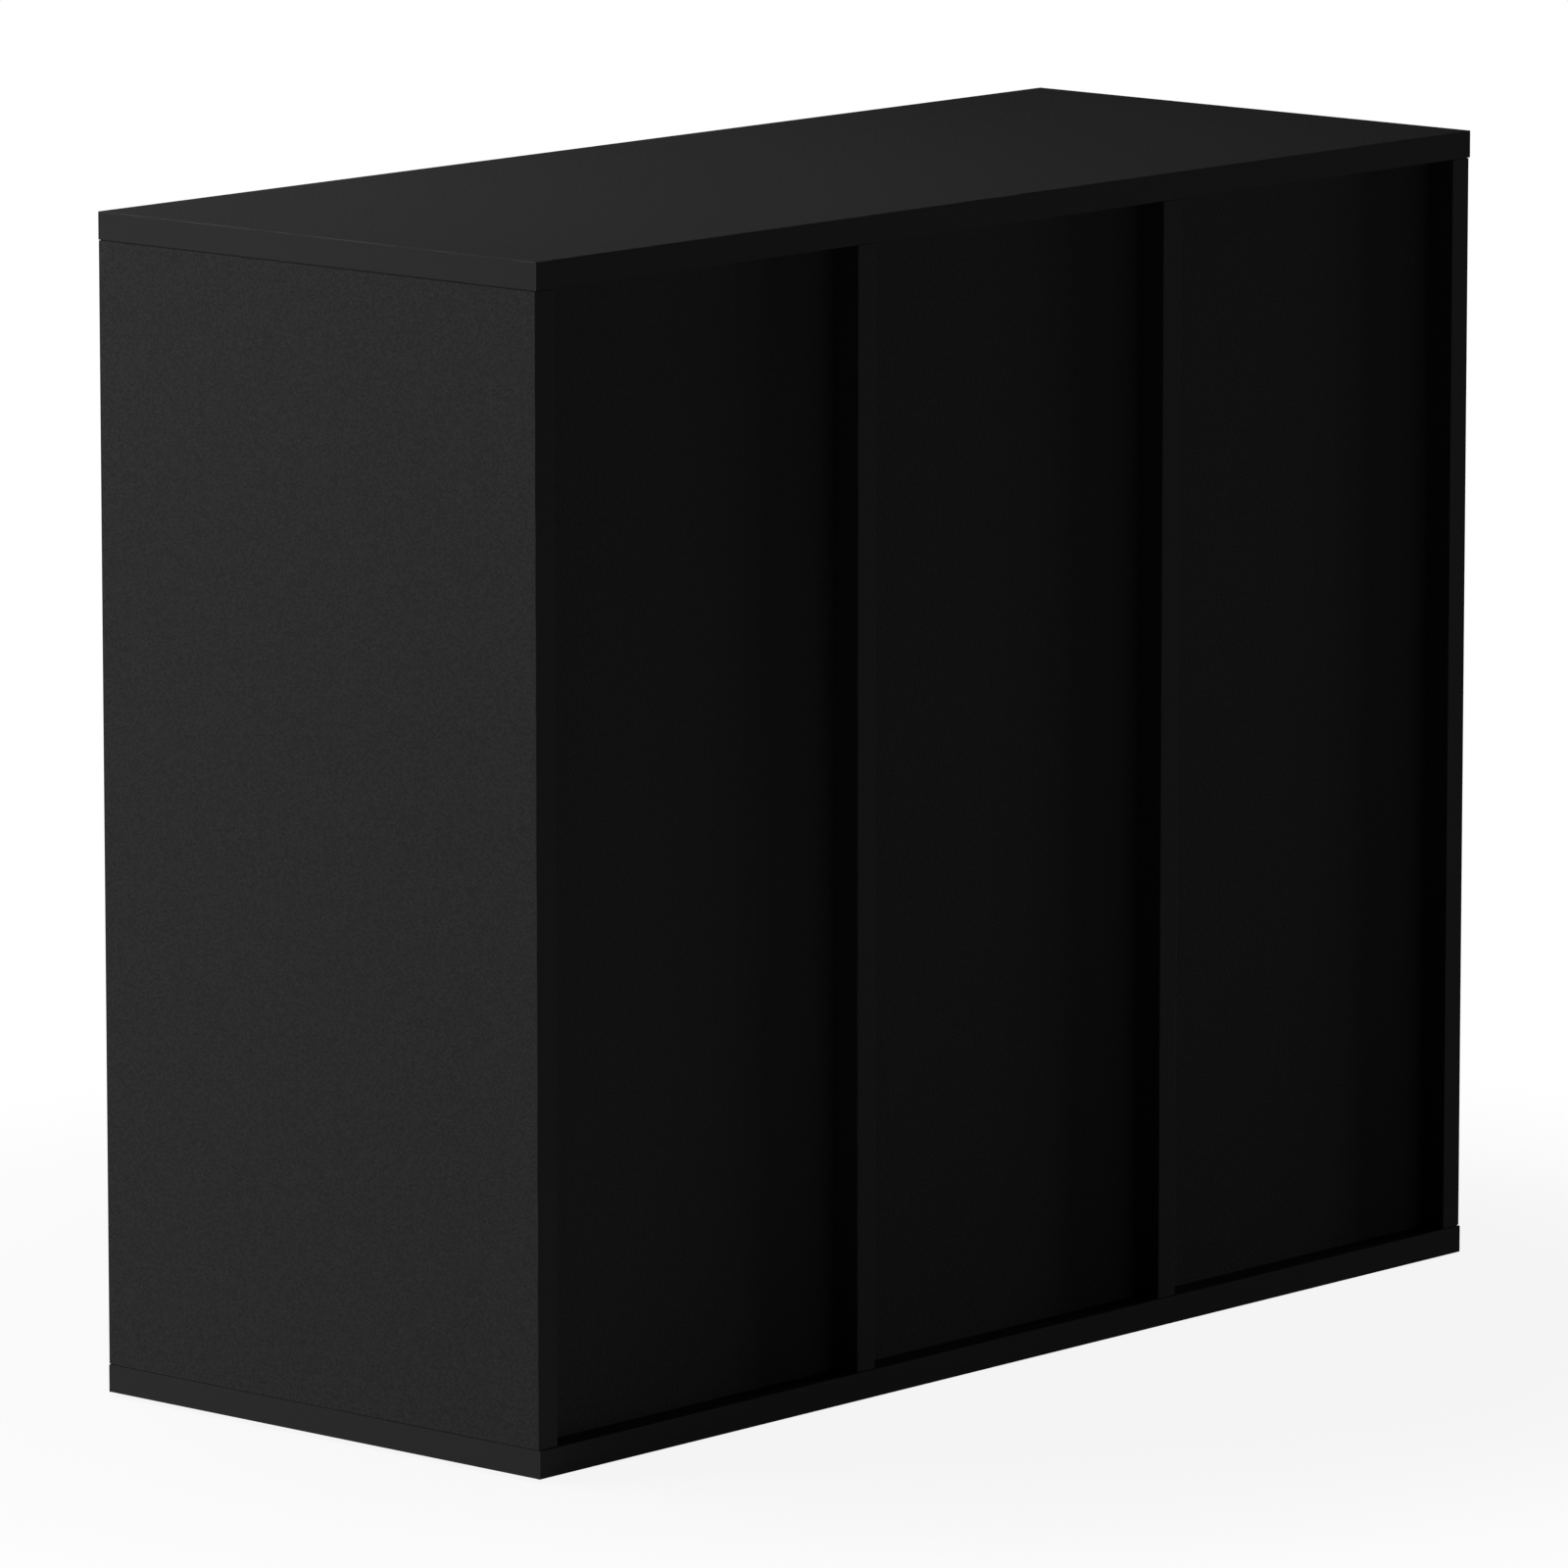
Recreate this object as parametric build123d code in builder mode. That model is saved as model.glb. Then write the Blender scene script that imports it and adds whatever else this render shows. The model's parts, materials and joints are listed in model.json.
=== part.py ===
from build123d import *
from math import radians, tan
import os

# Low black cabinet in three bays: recessed back panels behind, three sliding doors in front.
# Frame: floor level at the centre of the footprint, +X right, -Y front (doors), +Y back, +Z up.
# All sizes are in millimetres.

# Carcass: uprights and shelves of one board, top and bottom of a slightly thicker one
WIDTH = 960
DEPTH = 395
CARCASS_HEIGHT = 800
BOARD = 18
LEVEL_BOARD = 19
UPRIGHT_SETBACK = 1
BAND = 1
BAND_ROUND = 0.6
BAND_SEAM = 0.1
JOINT_LINE = 0.5

# Back panels, held in grooves
BACK_BOARD = 8
BACK_RECESS = 18
GROOVE_WEB = 6
GROOVE_PLAY = 0.2
GROOVE_END_GAP = 0.5

# Nail-on glides
GLIDE_RADIUS = 10
GLIDE_HEIGHT = 3
GLIDE_INSET = 30
GLIDE_ROUND = 0.6
NAIL_RADIUS = 1
NAIL_HEAD_RADIUS = 2.5
NAIL_HEAD = 0.8
NAIL_RECESS = 1.2
NAIL_BITE = 7

# Cam locks, cam bolts and dowels
FIT = 0.1
FITTING_INSET = 50
BORE_SKIN = 7.5
CAM_RADIUS = 7.5
CAM_SETBACK = 34
CAM_DRIVE_LENGTH = 8
CAM_DRIVE_WIDTH = 1.6
CAM_DRIVE_DEPTH = 2
BOLT_THREAD_RADIUS = 2.5
BOLT_COLLAR_RADIUS = 3.6
BOLT_COLLAR = 3
BOLT_HEAD_RADIUS = 3.4
BOLT_HEAD = 3
BOLT_BORE_RADIUS = 4
BOLT_END_GAP = 0.5
DOWEL_RADIUS = 4
DOWEL_LENGTH = 35
DOWEL_SPACING = 32
DOWEL_CHAMFER = 1

# Shelves and their pins
SHELF_PLAY = 0.5
SHELF_SETBACK = 2
SHELF_BACK_GAP = 1.5
PIN_RADIUS = 2.5
PIN_WEB = 2
PIN_END_GAP = 0.5
PIN_PITCH = 32
PIN_STEPS = (-2, -1, 0, 1, 2)
PIN_INSET = 37
PIN_COLLAR_RADIUS = 4.5
PIN_COLLAR = 1.2
PIN_TAB_WIDTH = 6
PIN_TAB_LENGTH = 7

# Sliding door panels, left to right, on the lanes from front to back
DOORS = ("left", "middle", "right")
DOOR_BOARD = 16
LANE_GAP = 4
DOOR_OVERLAP = 24
DOOR_END_GAP = 3
DOOR_FLOOR_GAP = 2
DOOR_TOP_GAP = 4

# Tracks
TRACK_INSET = 4
TRACK_WEB = 2
TRACK_END_GAP = 0.5
DIVIDER_GAP = 2
RIB_WIDTH = 3
RIB_HEIGHT = 5
CHANNEL_WALL = 2
CHANNEL_DEPTH = 12
TRACK_ROUND = 0.4
TRACK_SCREW_STEPS = (-1, -1 / 3, 1 / 3, 1)
TRACK_SCREW_INSET = 60

# Countersunk screws of the tracks and the roller carriages
SCREW_RADIUS = 1.5
SCREW_HEAD_RADIUS = 3
SCREW_LENGTH = 12
SCREW_SINK_ANGLE = 90
SCREW_DRIVE_LENGTH = 3.4
SCREW_DRIVE_WIDTH = 0.8
SCREW_DRIVE_DEPTH = 0.9

# Grooved rollers, their axles and carriages
RUNNING_GAP = 0.3
ROLLER_RADIUS = 6
RIB_GRIP = 2
FLANGE = 1.4
FLANGE_CHAMFER = 0.3
AXLE_RADIUS = 1.5
AXLE_FIT = 0.05
AXLE_END_GAP = 0.3
CARRIAGE_WALL = 1.5
CARRIAGE_ROOF = 3
CARRIAGE_END = 3
CARRIAGE_EAR_LENGTH = 10
CARRIAGE_EAR_HEIGHT = 6
CARRIAGE_INSET = 60
SLOT_GAP = 1
MORTISE_PLAY = 0.2

# Top guides
GUIDE_WIDTH = 8
GUIDE_LENGTH = 24
GUIDE_ENGAGEMENT = 5.5
GUIDE_CHAMFER = 0.8
GUIDE_PLUG_LENGTH = 30
GUIDE_PLUG_WIDTH = 10
GUIDE_PLUG_DEPTH = 10
GUIDE_INSET = 60

# Flush cup pulls
PULL_RADIUS = 20
PULL_DEPTH = 10
PULL_WALL = 1.2
PULL_RIM_RADIUS = 24
PULL_RIM = 1
PULL_RIM_ROUND = 0.6
PULL_CUP_ROUND = 3
PULL_EDGE_DISTANCE = 45

# Rubber door bumpers
BUMPER_RADIUS = 5
BUMPER_THICKNESS = 2.5
BUMPER_ROUND = 1
BUMPER_INSET = 100

# Levels of the carcass, from the floor up
bottom_low = GLIDE_HEIGHT
bottom_high = bottom_low + LEVEL_BOARD
top_high = GLIDE_HEIGHT + CARCASS_HEIGHT
top_low = top_high - LEVEL_BOARD
upright_height = top_low - bottom_high
middle_level = (bottom_high + top_low) / 2

# Front to back
front = -DEPTH / 2
rear = DEPTH / 2
upright_rear = rear - UPRIGHT_SETBACK
back_rear = upright_rear - BACK_RECESS
back_front = back_rear - BACK_BOARD
groove_depth = (BOARD - GROOVE_WEB) / 2
groove_middle = (back_front + back_rear) / 2
groove_width = BACK_BOARD + GROOVE_PLAY

# Three door lanes, one behind the other
lane_pitch = DOOR_BOARD + LANE_GAP
track_width = len(DOORS) * lane_pitch
track_front = front + TRACK_INSET
track_rear = track_front + track_width
track_middle = (track_front + track_rear) / 2
lane_middles = [track_front + (lane + 0.5) * lane_pitch for lane in range(len(DOORS))]
lane_borders = [track_front + (lane + 1) * lane_pitch for lane in range(len(DOORS) - 1)]
divider_front = track_rear + DIVIDER_GAP

# Left to right
inside = WIDTH / 2 - BOARD
bay = (2 * inside - 2 * BOARD) / 3
divider_middle = (bay + BOARD) / 2
side_middle = inside + BOARD / 2
bay_middles = {"left": -bay - BOARD, "middle": 0, "right": bay + BOARD}

# Closed doors, each lapping over the next
door_width = (2 * inside - 2 * DOOR_END_GAP + 2 * DOOR_OVERLAP) / 3
door_shift = door_width - DOOR_OVERLAP
door_middles = dict(zip(DOORS, (-door_shift, 0, door_shift)))
door_lanes = dict(zip(DOORS, lane_middles))
pull_shift = door_width / 2 - PULL_EDGE_DISTANCE
pull_shifts = dict(zip(DOORS, (-pull_shift, pull_shift, pull_shift)))

# Levels of the door gear, from the bottom track up
track_floor = bottom_high + TRACK_WEB
rib_top = track_floor + RIB_HEIGHT
axle_level = rib_top + RUNNING_GAP + ROLLER_RADIUS
door_low = rib_top + DOOR_FLOOR_GAP
channel_roof = top_low - TRACK_WEB
channel_low = channel_roof - CHANNEL_DEPTH
door_high = channel_low - DOOR_TOP_GAP
door_middle_level = (door_low + door_high) / 2
guide_top = channel_low + GUIDE_ENGAGEMENT

# Roller and carriage sizes that follow from the rib
flange_radius = ROLLER_RADIUS + RIB_GRIP
groove_of_roller = RIB_WIDTH + 2 * RUNNING_GAP
roller_width = groove_of_roller + 2 * FLANGE
slot_width = roller_width + 2 * RUNNING_GAP
carriage_width = slot_width + 2 * CARRIAGE_WALL
slot_length = 2 * (flange_radius + SLOT_GAP)
carriage_body_length = slot_length + 2 * CARRIAGE_END
carriage_length = carriage_body_length + 2 * CARRIAGE_EAR_LENGTH
slot_top = axle_level + flange_radius + SLOT_GAP
carriage_top = slot_top + CARRIAGE_ROOF
ear_top = door_low + CARRIAGE_EAR_HEIGHT
ear_shift = (carriage_body_length + CARRIAGE_EAR_LENGTH) / 2
carriage_shift = door_width / 2 - CARRIAGE_INSET
guide_shift = door_width / 2 - GUIDE_INSET
channel_width = GUIDE_WIDTH + 2 * RUNNING_GAP

# Fittings that join each upright to the top and bottom boards
panel_bore = LEVEL_BOARD - BORE_SKIN
bolt_thread = panel_bore - BOLT_END_GAP
throat = BOLT_HEAD_RADIUS + FIT
cam_depth = BOARD / 2 + throat
dowel_bite = panel_bore - BOLT_END_GAP
dowel_bore = DOWEL_LENGTH - dowel_bite + BOLT_END_GAP
pin_bore = (BOARD - PIN_WEB) / 2

# Shelves
shelf_low = middle_level - BOARD / 2
shelf_front = divider_front + SHELF_SETBACK
shelf_rear = back_front - SHELF_BACK_GAP
shelf_width = bay - 2 * SHELF_PLAY
pin_level = shelf_low - PIN_RADIUS
pin_rows = [divider_front + PIN_INSET, back_front - PIN_INSET]
pin_levels = [pin_level + PIN_PITCH * step for step in PIN_STEPS]

# Where each upright stands, where its front edge is and which of its faces look into a bay
uprights = {
    "left_side": {"x": -side_middle, "front": front, "bay_faces": [1], "cam_face": 1},
    "left_divider": {"x": -divider_middle, "front": divider_front, "bay_faces": [-1, 1], "cam_face": 1},
    "right_divider": {"x": divider_middle, "front": divider_front, "bay_faces": [-1, 1], "cam_face": -1},
    "right_side": {"x": side_middle, "front": front, "bay_faces": [-1], "cam_face": -1},
}
for upright in uprights.values():
    upright["bolts"] = [upright["front"] + FITTING_INSET, upright_rear - FITTING_INSET]
    upright["dowels"] = [upright["bolts"][0] + DOWEL_SPACING, upright["bolts"][1] - DOWEL_SPACING]

# Points on the joint planes, used by the boards and by the fittings in them
bolt_points = [(upright["x"], y) for upright in uprights.values() for y in upright["bolts"]]
dowel_points = [(upright["x"], y) for upright in uprights.values() for y in upright["dowels"]]
glide_columns = [GLIDE_INSET - WIDTH / 2, -divider_middle, divider_middle, WIDTH / 2 - GLIDE_INSET]
glide_points = [(x, y) for x in glide_columns for y in (front + GLIDE_INSET, rear - GLIDE_INSET)]
track_length = 2 * (inside - TRACK_END_GAP)
screw_reach = track_length / 2 - TRACK_SCREW_INSET
screw_columns = [screw_reach * step for step in TRACK_SCREW_STEPS]
track_screw_points = [(x, y) for x in screw_columns for y in lane_borders]

os.makedirs("parts", exist_ok=True)


def save(piece, name):
    piece.part.label = name
    export_step(piece.part, f"parts/{name}.step")


def level(z):
    """A horizontal plane: sketches on it are (x, y) and grow upwards."""
    return Plane.XY.offset(z)


def across(x):
    """A plane square to the width: sketches on it are (y, z) and grow to the right."""
    return Plane.YZ.offset(x)


def facing(y):
    """A plane square to the depth: sketches on it are (x, z) and grow towards the front."""
    return Plane.XZ.offset(-y)


def downwards(point):
    """A plane that looks down from the point."""
    return Plane(origin=point, x_dir=(1, 0, 0), z_dir=(0, 0, -1))


def upwards(point):
    """A plane that looks up from the point."""
    return Plane(origin=point, x_dir=(1, 0, 0), z_dir=(0, 0, 1))


def edge_strip(start, along, outward, length, thickness):
    """A strip of edge band, glued on at start, with its two outer corners eased."""
    with BuildPart() as strip:
        with BuildSketch(Plane(origin=start, x_dir=outward, z_dir=along)) as section:
            Rectangle(BAND, thickness, align=(Align.MIN, Align.CENTER))
            fillet(section.vertices().group_by(Axis.X)[-1], BAND_ROUND)
        extrude(amount=length)
    return strip.part


def group(pieces, places=None):
    """Loose pieces of one kind as one set, or one piece repeated at each place."""
    with BuildPart() as kit:
        if places is None:
            add(pieces)
        else:
            with Locations(*places):
                add(pieces)
    return kit


# Horizontal boards and their edge bands


def horizontal_board(low, joint_level, into_board):
    """The top or bottom board, bored and grooved on the side where the uprights meet it."""
    with BuildPart() as panel:
        with BuildSketch(level(low)):
            Rectangle(WIDTH - 2 * BAND, DEPTH - 2 * BAND)
        extrude(amount=LEVEL_BOARD)
        with BuildSketch(level(joint_level)):
            with Locations((0, groove_middle)):
                Rectangle(2 * (inside + groove_depth), groove_width)
        extrude(amount=into_board * groove_depth, mode=Mode.SUBTRACT)
        with BuildSketch(level(joint_level)):
            with Locations(*bolt_points):
                Circle(BOLT_THREAD_RADIUS + FIT)
            with Locations(*dowel_points):
                Circle(DOWEL_RADIUS + FIT)
        extrude(amount=into_board * panel_bore, mode=Mode.SUBTRACT)
        with BuildSketch(level(joint_level)):
            with Locations(*track_screw_points):
                Circle(SCREW_RADIUS + FIT)
        extrude(amount=into_board * (SCREW_LENGTH - TRACK_WEB + FIT), mode=Mode.SUBTRACT)
    return panel


def horizontal_bands(low):
    """Bands round the top or bottom board: long ones front and back, short ones between them."""
    middle = low + LEVEL_BOARD / 2
    long_start = -WIDTH / 2
    short_start = front + BAND + BAND_SEAM
    short_length = DEPTH - 2 * BAND - 2 * BAND_SEAM
    strips = []
    for side in (-1, 1):
        long_place = (long_start, side * (DEPTH / 2 - BAND), middle)
        strips.append(edge_strip(long_place, (1, 0, 0), (0, side, 0), WIDTH, LEVEL_BOARD))
        short_place = (side * (WIDTH / 2 - BAND), short_start, middle)
        strips.append(edge_strip(short_place, (0, 1, 0), (side, 0, 0), short_length, LEVEL_BOARD))
    return group(strips)


top_panel = horizontal_board(top_low, top_low, 1)
save(top_panel, "top_panel")
save(horizontal_bands(top_low), "top_edge_bands")

bottom_board = horizontal_board(bottom_low, bottom_high, -1)
with BuildPart() as bottom_panel:
    add(bottom_board.part)
    with BuildSketch(level(bottom_low)):
        with Locations(*glide_points):
            Circle(NAIL_RADIUS + FIT)
    extrude(amount=NAIL_BITE + FIT, mode=Mode.SUBTRACT)
save(bottom_panel, "bottom_panel")
save(horizontal_bands(bottom_low), "bottom_edge_bands")


# Uprights and their edge bands


def upright_board(spec):
    """A side or a divider, with its grooves, pin holes, cam pockets and end bores.

    The outer corners of a side's ends are cut back, which leaves a fine shadow line under the top board
    and over the bottom board.
    """
    core_front = spec["front"] + BAND
    core_rear = upright_rear - BAND
    cam_surface = spec["x"] + spec["cam_face"] * BOARD / 2
    with BuildPart() as board:
        with BuildSketch(across(spec["x"] - BOARD / 2)):
            with Locations(((core_front + core_rear) / 2, middle_level)):
                Rectangle(core_rear - core_front, upright_height)
        extrude(amount=BOARD)
        for face in spec["bay_faces"]:
            surface = spec["x"] + face * BOARD / 2
            with BuildSketch(across(surface)):
                with Locations((groove_middle, middle_level)):
                    Rectangle(groove_width, upright_height)
            extrude(amount=-face * groove_depth, mode=Mode.SUBTRACT)
            with BuildSketch(across(surface)):
                with Locations(*[(y, z) for y in pin_rows for z in pin_levels]):
                    Circle(PIN_RADIUS + FIT)
            extrude(amount=-face * pin_bore, mode=Mode.SUBTRACT)
        with BuildSketch(across(cam_surface)):
            for z in (bottom_high + CAM_SETBACK, top_low - CAM_SETBACK):
                with Locations(*[(y, z) for y in spec["bolts"]]):
                    Circle(CAM_RADIUS + FIT)
        extrude(amount=-spec["cam_face"] * cam_depth, mode=Mode.SUBTRACT)
        for end, inwards in ((bottom_high, 1), (top_low, -1)):
            with BuildSketch(level(end)):
                with Locations(*[(spec["x"], y) for y in spec["bolts"]]):
                    Circle(BOLT_BORE_RADIUS)
            extrude(amount=inwards * CAM_SETBACK, mode=Mode.SUBTRACT)
            with BuildSketch(level(end)):
                with Locations(*[(spec["x"], y) for y in spec["dowels"]]):
                    Circle(DOWEL_RADIUS + FIT)
            extrude(amount=inwards * dowel_bore, mode=Mode.SUBTRACT)
        if len(spec["bay_faces"]) == 1:
            outer_surface = spec["x"] - spec["bay_faces"][0] * BOARD / 2
            for end in (bottom_high, top_low):
                with BuildSketch(level(end)):
                    with Locations((outer_surface, (core_front + core_rear) / 2)):
                        Rectangle(2 * BAND, core_rear - core_front)
                extrude(amount=JOINT_LINE, both=True, mode=Mode.SUBTRACT)
    return board


def upright_bands(names):
    """Bands on the front and rear edges of the named uprights, a shadow line short of the boards."""
    start_level = bottom_high + JOINT_LINE
    length = upright_height - 2 * JOINT_LINE
    strips = []
    for name in names:
        x = uprights[name]["x"]
        for edge, side in ((uprights[name]["front"] + BAND, -1), (upright_rear - BAND, 1)):
            strips.append(edge_strip((x, edge, start_level), (0, 0, 1), (0, side, 0), length, BOARD))
    return group(strips)


for name, spec in uprights.items():
    save(upright_board(spec), name)
save(upright_bands(["left_side", "right_side"]), "side_edge_bands")
save(upright_bands(["left_divider", "right_divider"]), "divider_edge_bands")


# Back panels, one to a bay

back_width = bay + 2 * (groove_depth - GROOVE_END_GAP)
back_height = upright_height + 2 * (groove_depth - GROOVE_END_GAP)
for name, x in bay_middles.items():
    with BuildPart() as back_panel:
        with BuildSketch(facing(back_rear)):
            with Locations((x, middle_level)):
                Rectangle(back_width, back_height)
        extrude(amount=BACK_BOARD)
    save(back_panel, f"back_panel_{name}")


# Shelves, one to a bay, each on four pins

shelf_strips = []
for name, x in bay_middles.items():
    with BuildPart() as shelf:
        with BuildSketch(level(shelf_low)):
            with Locations((x, (shelf_front + BAND + shelf_rear) / 2)):
                Rectangle(shelf_width, shelf_rear - shelf_front - BAND)
        extrude(amount=BOARD)
    save(shelf, f"shelf_{name}")
    strip_start = (x - shelf_width / 2, shelf_front + BAND, middle_level)
    shelf_strips.append(edge_strip(strip_start, (1, 0, 0), (0, -1, 0), shelf_width, BOARD))
save(group(shelf_strips), "shelf_edge_bands")


def shelf_pin(surface, direction, y):
    """A shelf pin: shank in the upright, cut-off collar against it and a flat tab under the shelf."""
    cut = 2 * PIN_COLLAR_RADIUS
    with BuildPart() as pin:
        with BuildSketch(across(surface)):
            with Locations((y, pin_level)):
                Circle(PIN_RADIUS)
        extrude(amount=-direction * (pin_bore - PIN_END_GAP))
        with BuildSketch(across(surface)):
            with Locations((y, pin_level)):
                Circle(PIN_COLLAR_RADIUS)
            with Locations((y, shelf_low)):
                Rectangle(cut, cut, align=(Align.CENTER, Align.MIN), mode=Mode.SUBTRACT)
        extrude(amount=direction * PIN_COLLAR)
        with BuildSketch(across(surface)):
            with Locations((y, pin_level)):
                Rectangle(PIN_TAB_WIDTH, 2 * PIN_RADIUS)
        extrude(amount=direction * PIN_TAB_LENGTH)
    return pin.part


pins = []
for spec in uprights.values():
    for face in spec["bay_faces"]:
        pins += [shelf_pin(spec["x"] + face * BOARD / 2, face, y) for y in pin_rows]
save(group(pins), "shelf_pins")


# Cam bolts: thread in the board, collar, neck and a head that the cam draws in

with BuildPart() as cam_bolt:
    with BuildSketch(Plane.XZ):
        with Locations((0, -bolt_thread)):
            Rectangle(BOLT_THREAD_RADIUS, bolt_thread + CAM_SETBACK, align=Align.MIN)
        Rectangle(BOLT_COLLAR_RADIUS, BOLT_COLLAR, align=Align.MIN)
        with Locations((0, CAM_SETBACK)):
            Rectangle(BOLT_HEAD_RADIUS, BOLT_HEAD, align=Align.MIN)
    revolve(axis=Axis.Z)

bolt_places = [upwards((x, y, bottom_high)) for x, y in bolt_points]
bolt_places += [downwards((x, y, top_low)) for x, y in bolt_points]
save(group(cam_bolt.part, bolt_places), "cam_bolts")


# Cam locks: a drum with a driver slot on its face and a throat for the bolt's head

with BuildPart() as cam_lock:
    with BuildSketch(Plane.XY):
        Circle(CAM_RADIUS)
    extrude(amount=-cam_depth)
    with BuildSketch(Plane.XY):
        Rectangle(CAM_DRIVE_LENGTH, CAM_DRIVE_WIDTH)
        Rectangle(CAM_DRIVE_WIDTH, CAM_DRIVE_LENGTH)
    extrude(amount=-CAM_DRIVE_DEPTH, mode=Mode.SUBTRACT)
    with BuildSketch(Plane.XY.offset(-cam_depth)):
        with Locations((0, BOLT_HEAD + FIT)):
            Rectangle(2 * throat, 2 * CAM_RADIUS, align=(Align.CENTER, Align.MAX))
    extrude(amount=2 * throat, mode=Mode.SUBTRACT)

# The drum's own y axis points away from the board that its bolt comes from
cam_places = []
for spec in uprights.values():
    turn = spec["cam_face"]
    surface = spec["x"] + turn * BOARD / 2
    for y in spec["bolts"]:
        low_cam = (surface, y, bottom_high + CAM_SETBACK)
        high_cam = (surface, y, top_low - CAM_SETBACK)
        cam_places.append(Plane(origin=low_cam, x_dir=(0, turn, 0), z_dir=(turn, 0, 0)))
        cam_places.append(Plane(origin=high_cam, x_dir=(0, -turn, 0), z_dir=(turn, 0, 0)))
save(group(cam_lock.part, cam_places), "cam_locks")


# Dowels, half in the boards and half in the uprights

with BuildPart() as dowel:
    with BuildSketch(Plane.XY.offset(-dowel_bite)):
        Circle(DOWEL_RADIUS)
    extrude(amount=DOWEL_LENGTH)
    chamfer(dowel.edges(), DOWEL_CHAMFER)

dowel_places = [upwards((x, y, bottom_high)) for x, y in dowel_points]
dowel_places += [downwards((x, y, top_low)) for x, y in dowel_points]
save(group(dowel.part, dowel_places), "dowels")


# Glides under the bottom board, each with its nail

with BuildPart() as glide:
    with BuildSketch(Plane.XY):
        Circle(GLIDE_RADIUS)
    extrude(amount=GLIDE_HEIGHT)
    fillet(glide.edges().group_by(Axis.Z)[0], GLIDE_ROUND)
    with BuildSketch(Plane.XY):
        Circle(NAIL_HEAD_RADIUS + FIT)
    extrude(amount=NAIL_RECESS, mode=Mode.SUBTRACT)
    with BuildSketch(Plane.XY):
        Circle(NAIL_RADIUS + FIT)
    extrude(amount=GLIDE_HEIGHT, mode=Mode.SUBTRACT)
save(group(glide.part, glide_points), "glides")

with BuildPart() as glide_nail:
    with BuildSketch(Plane.XY.offset(NAIL_RECESS - NAIL_HEAD)):
        Circle(NAIL_HEAD_RADIUS)
    extrude(amount=NAIL_HEAD)
    with BuildSketch(Plane.XY.offset(NAIL_RECESS)):
        Circle(NAIL_RADIUS)
    extrude(amount=GLIDE_HEIGHT - NAIL_RECESS + NAIL_BITE)
    chamfer(glide_nail.edges().group_by(Axis.Z)[-1], NAIL_RADIUS / 2)
save(group(glide_nail.part, glide_points), "glide_nails")


# Tracks: three ribs for the rollers below, three channels for the guides above

with BuildPart() as bottom_track:
    with BuildSketch(across(-track_length / 2)) as bottom_section:
        with Locations((track_middle, bottom_high)):
            Rectangle(track_width, TRACK_WEB, align=(Align.CENTER, Align.MIN))
        with Locations(*[(y, track_floor) for y in lane_middles]):
            Rectangle(RIB_WIDTH, RIB_HEIGHT, align=(Align.CENTER, Align.MIN))
        fillet(bottom_section.vertices(), TRACK_ROUND)
    extrude(amount=track_length)
    with Locations(*[upwards((x, y, track_floor)) for x, y in track_screw_points]):
        CounterSinkHole(SCREW_RADIUS + FIT, SCREW_HEAD_RADIUS + FIT, TRACK_WEB, SCREW_SINK_ANGLE)
save(bottom_track, "bottom_track")

with BuildPart() as top_track:
    with BuildSketch(across(-track_length / 2)) as top_section:
        with Locations((track_middle, channel_roof)):
            Rectangle(track_width, TRACK_WEB, align=(Align.CENTER, Align.MIN))
        with Locations(*[(y, channel_low) for y in lane_middles]):
            Rectangle(channel_width + 2 * CHANNEL_WALL, CHANNEL_DEPTH, align=(Align.CENTER, Align.MIN))
            Rectangle(channel_width, CHANNEL_DEPTH, align=(Align.CENTER, Align.MIN), mode=Mode.SUBTRACT)
        fillet(top_section.vertices(), TRACK_ROUND)
    extrude(amount=track_length)
    with Locations(*[downwards((x, y, channel_roof)) for x, y in track_screw_points]):
        CounterSinkHole(SCREW_RADIUS + FIT, SCREW_HEAD_RADIUS + FIT, TRACK_WEB, SCREW_SINK_ANGLE)
save(top_track, "top_track")


# Countersunk screw, its head's face on the plane and its point below

screw_cone = (SCREW_HEAD_RADIUS - SCREW_RADIUS) / tan(radians(SCREW_SINK_ANGLE / 2))
with BuildPart() as screw:
    with BuildSketch(Plane.XZ):
        with BuildLine():
            Polyline(
                (0, 0),
                (SCREW_HEAD_RADIUS, 0),
                (SCREW_RADIUS, -screw_cone),
                (SCREW_RADIUS, SCREW_RADIUS - SCREW_LENGTH),
                (0, -SCREW_LENGTH),
                close=True,
            )
        make_face()
    revolve(axis=Axis.Z)
    with BuildSketch(Plane.XY):
        Rectangle(SCREW_DRIVE_LENGTH, SCREW_DRIVE_WIDTH)
        Rectangle(SCREW_DRIVE_WIDTH, SCREW_DRIVE_LENGTH)
    extrude(amount=-SCREW_DRIVE_DEPTH, mode=Mode.SUBTRACT)

bottom_screw_places = [upwards((x, y, track_floor)) for x, y in track_screw_points]
save(group(screw.part, bottom_screw_places), "bottom_track_screws")
top_screw_places = [downwards((x, y, channel_roof)) for x, y in track_screw_points]
save(group(screw.part, top_screw_places), "top_track_screws")


# Rubber bumpers on the sides, two to a lane at each end

with BuildPart() as bumper:
    with BuildSketch(Plane.XY):
        Circle(BUMPER_RADIUS)
    extrude(amount=BUMPER_THICKNESS)
    fillet(bumper.edges().group_by(Axis.Z)[-1], BUMPER_ROUND)

bumper_levels = [door_low + BUMPER_INSET, door_high - BUMPER_INSET]
bumper_places = []
for side in (-1, 1):
    for y in lane_middles:
        for z in bumper_levels:
            bumper_places.append(Plane(origin=(side * inside, y, z), z_dir=(-side, 0, 0)))
save(group(bumper.part, bumper_places), "door_bumpers")


# Roller gear, drawn round the axle's middle

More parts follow.
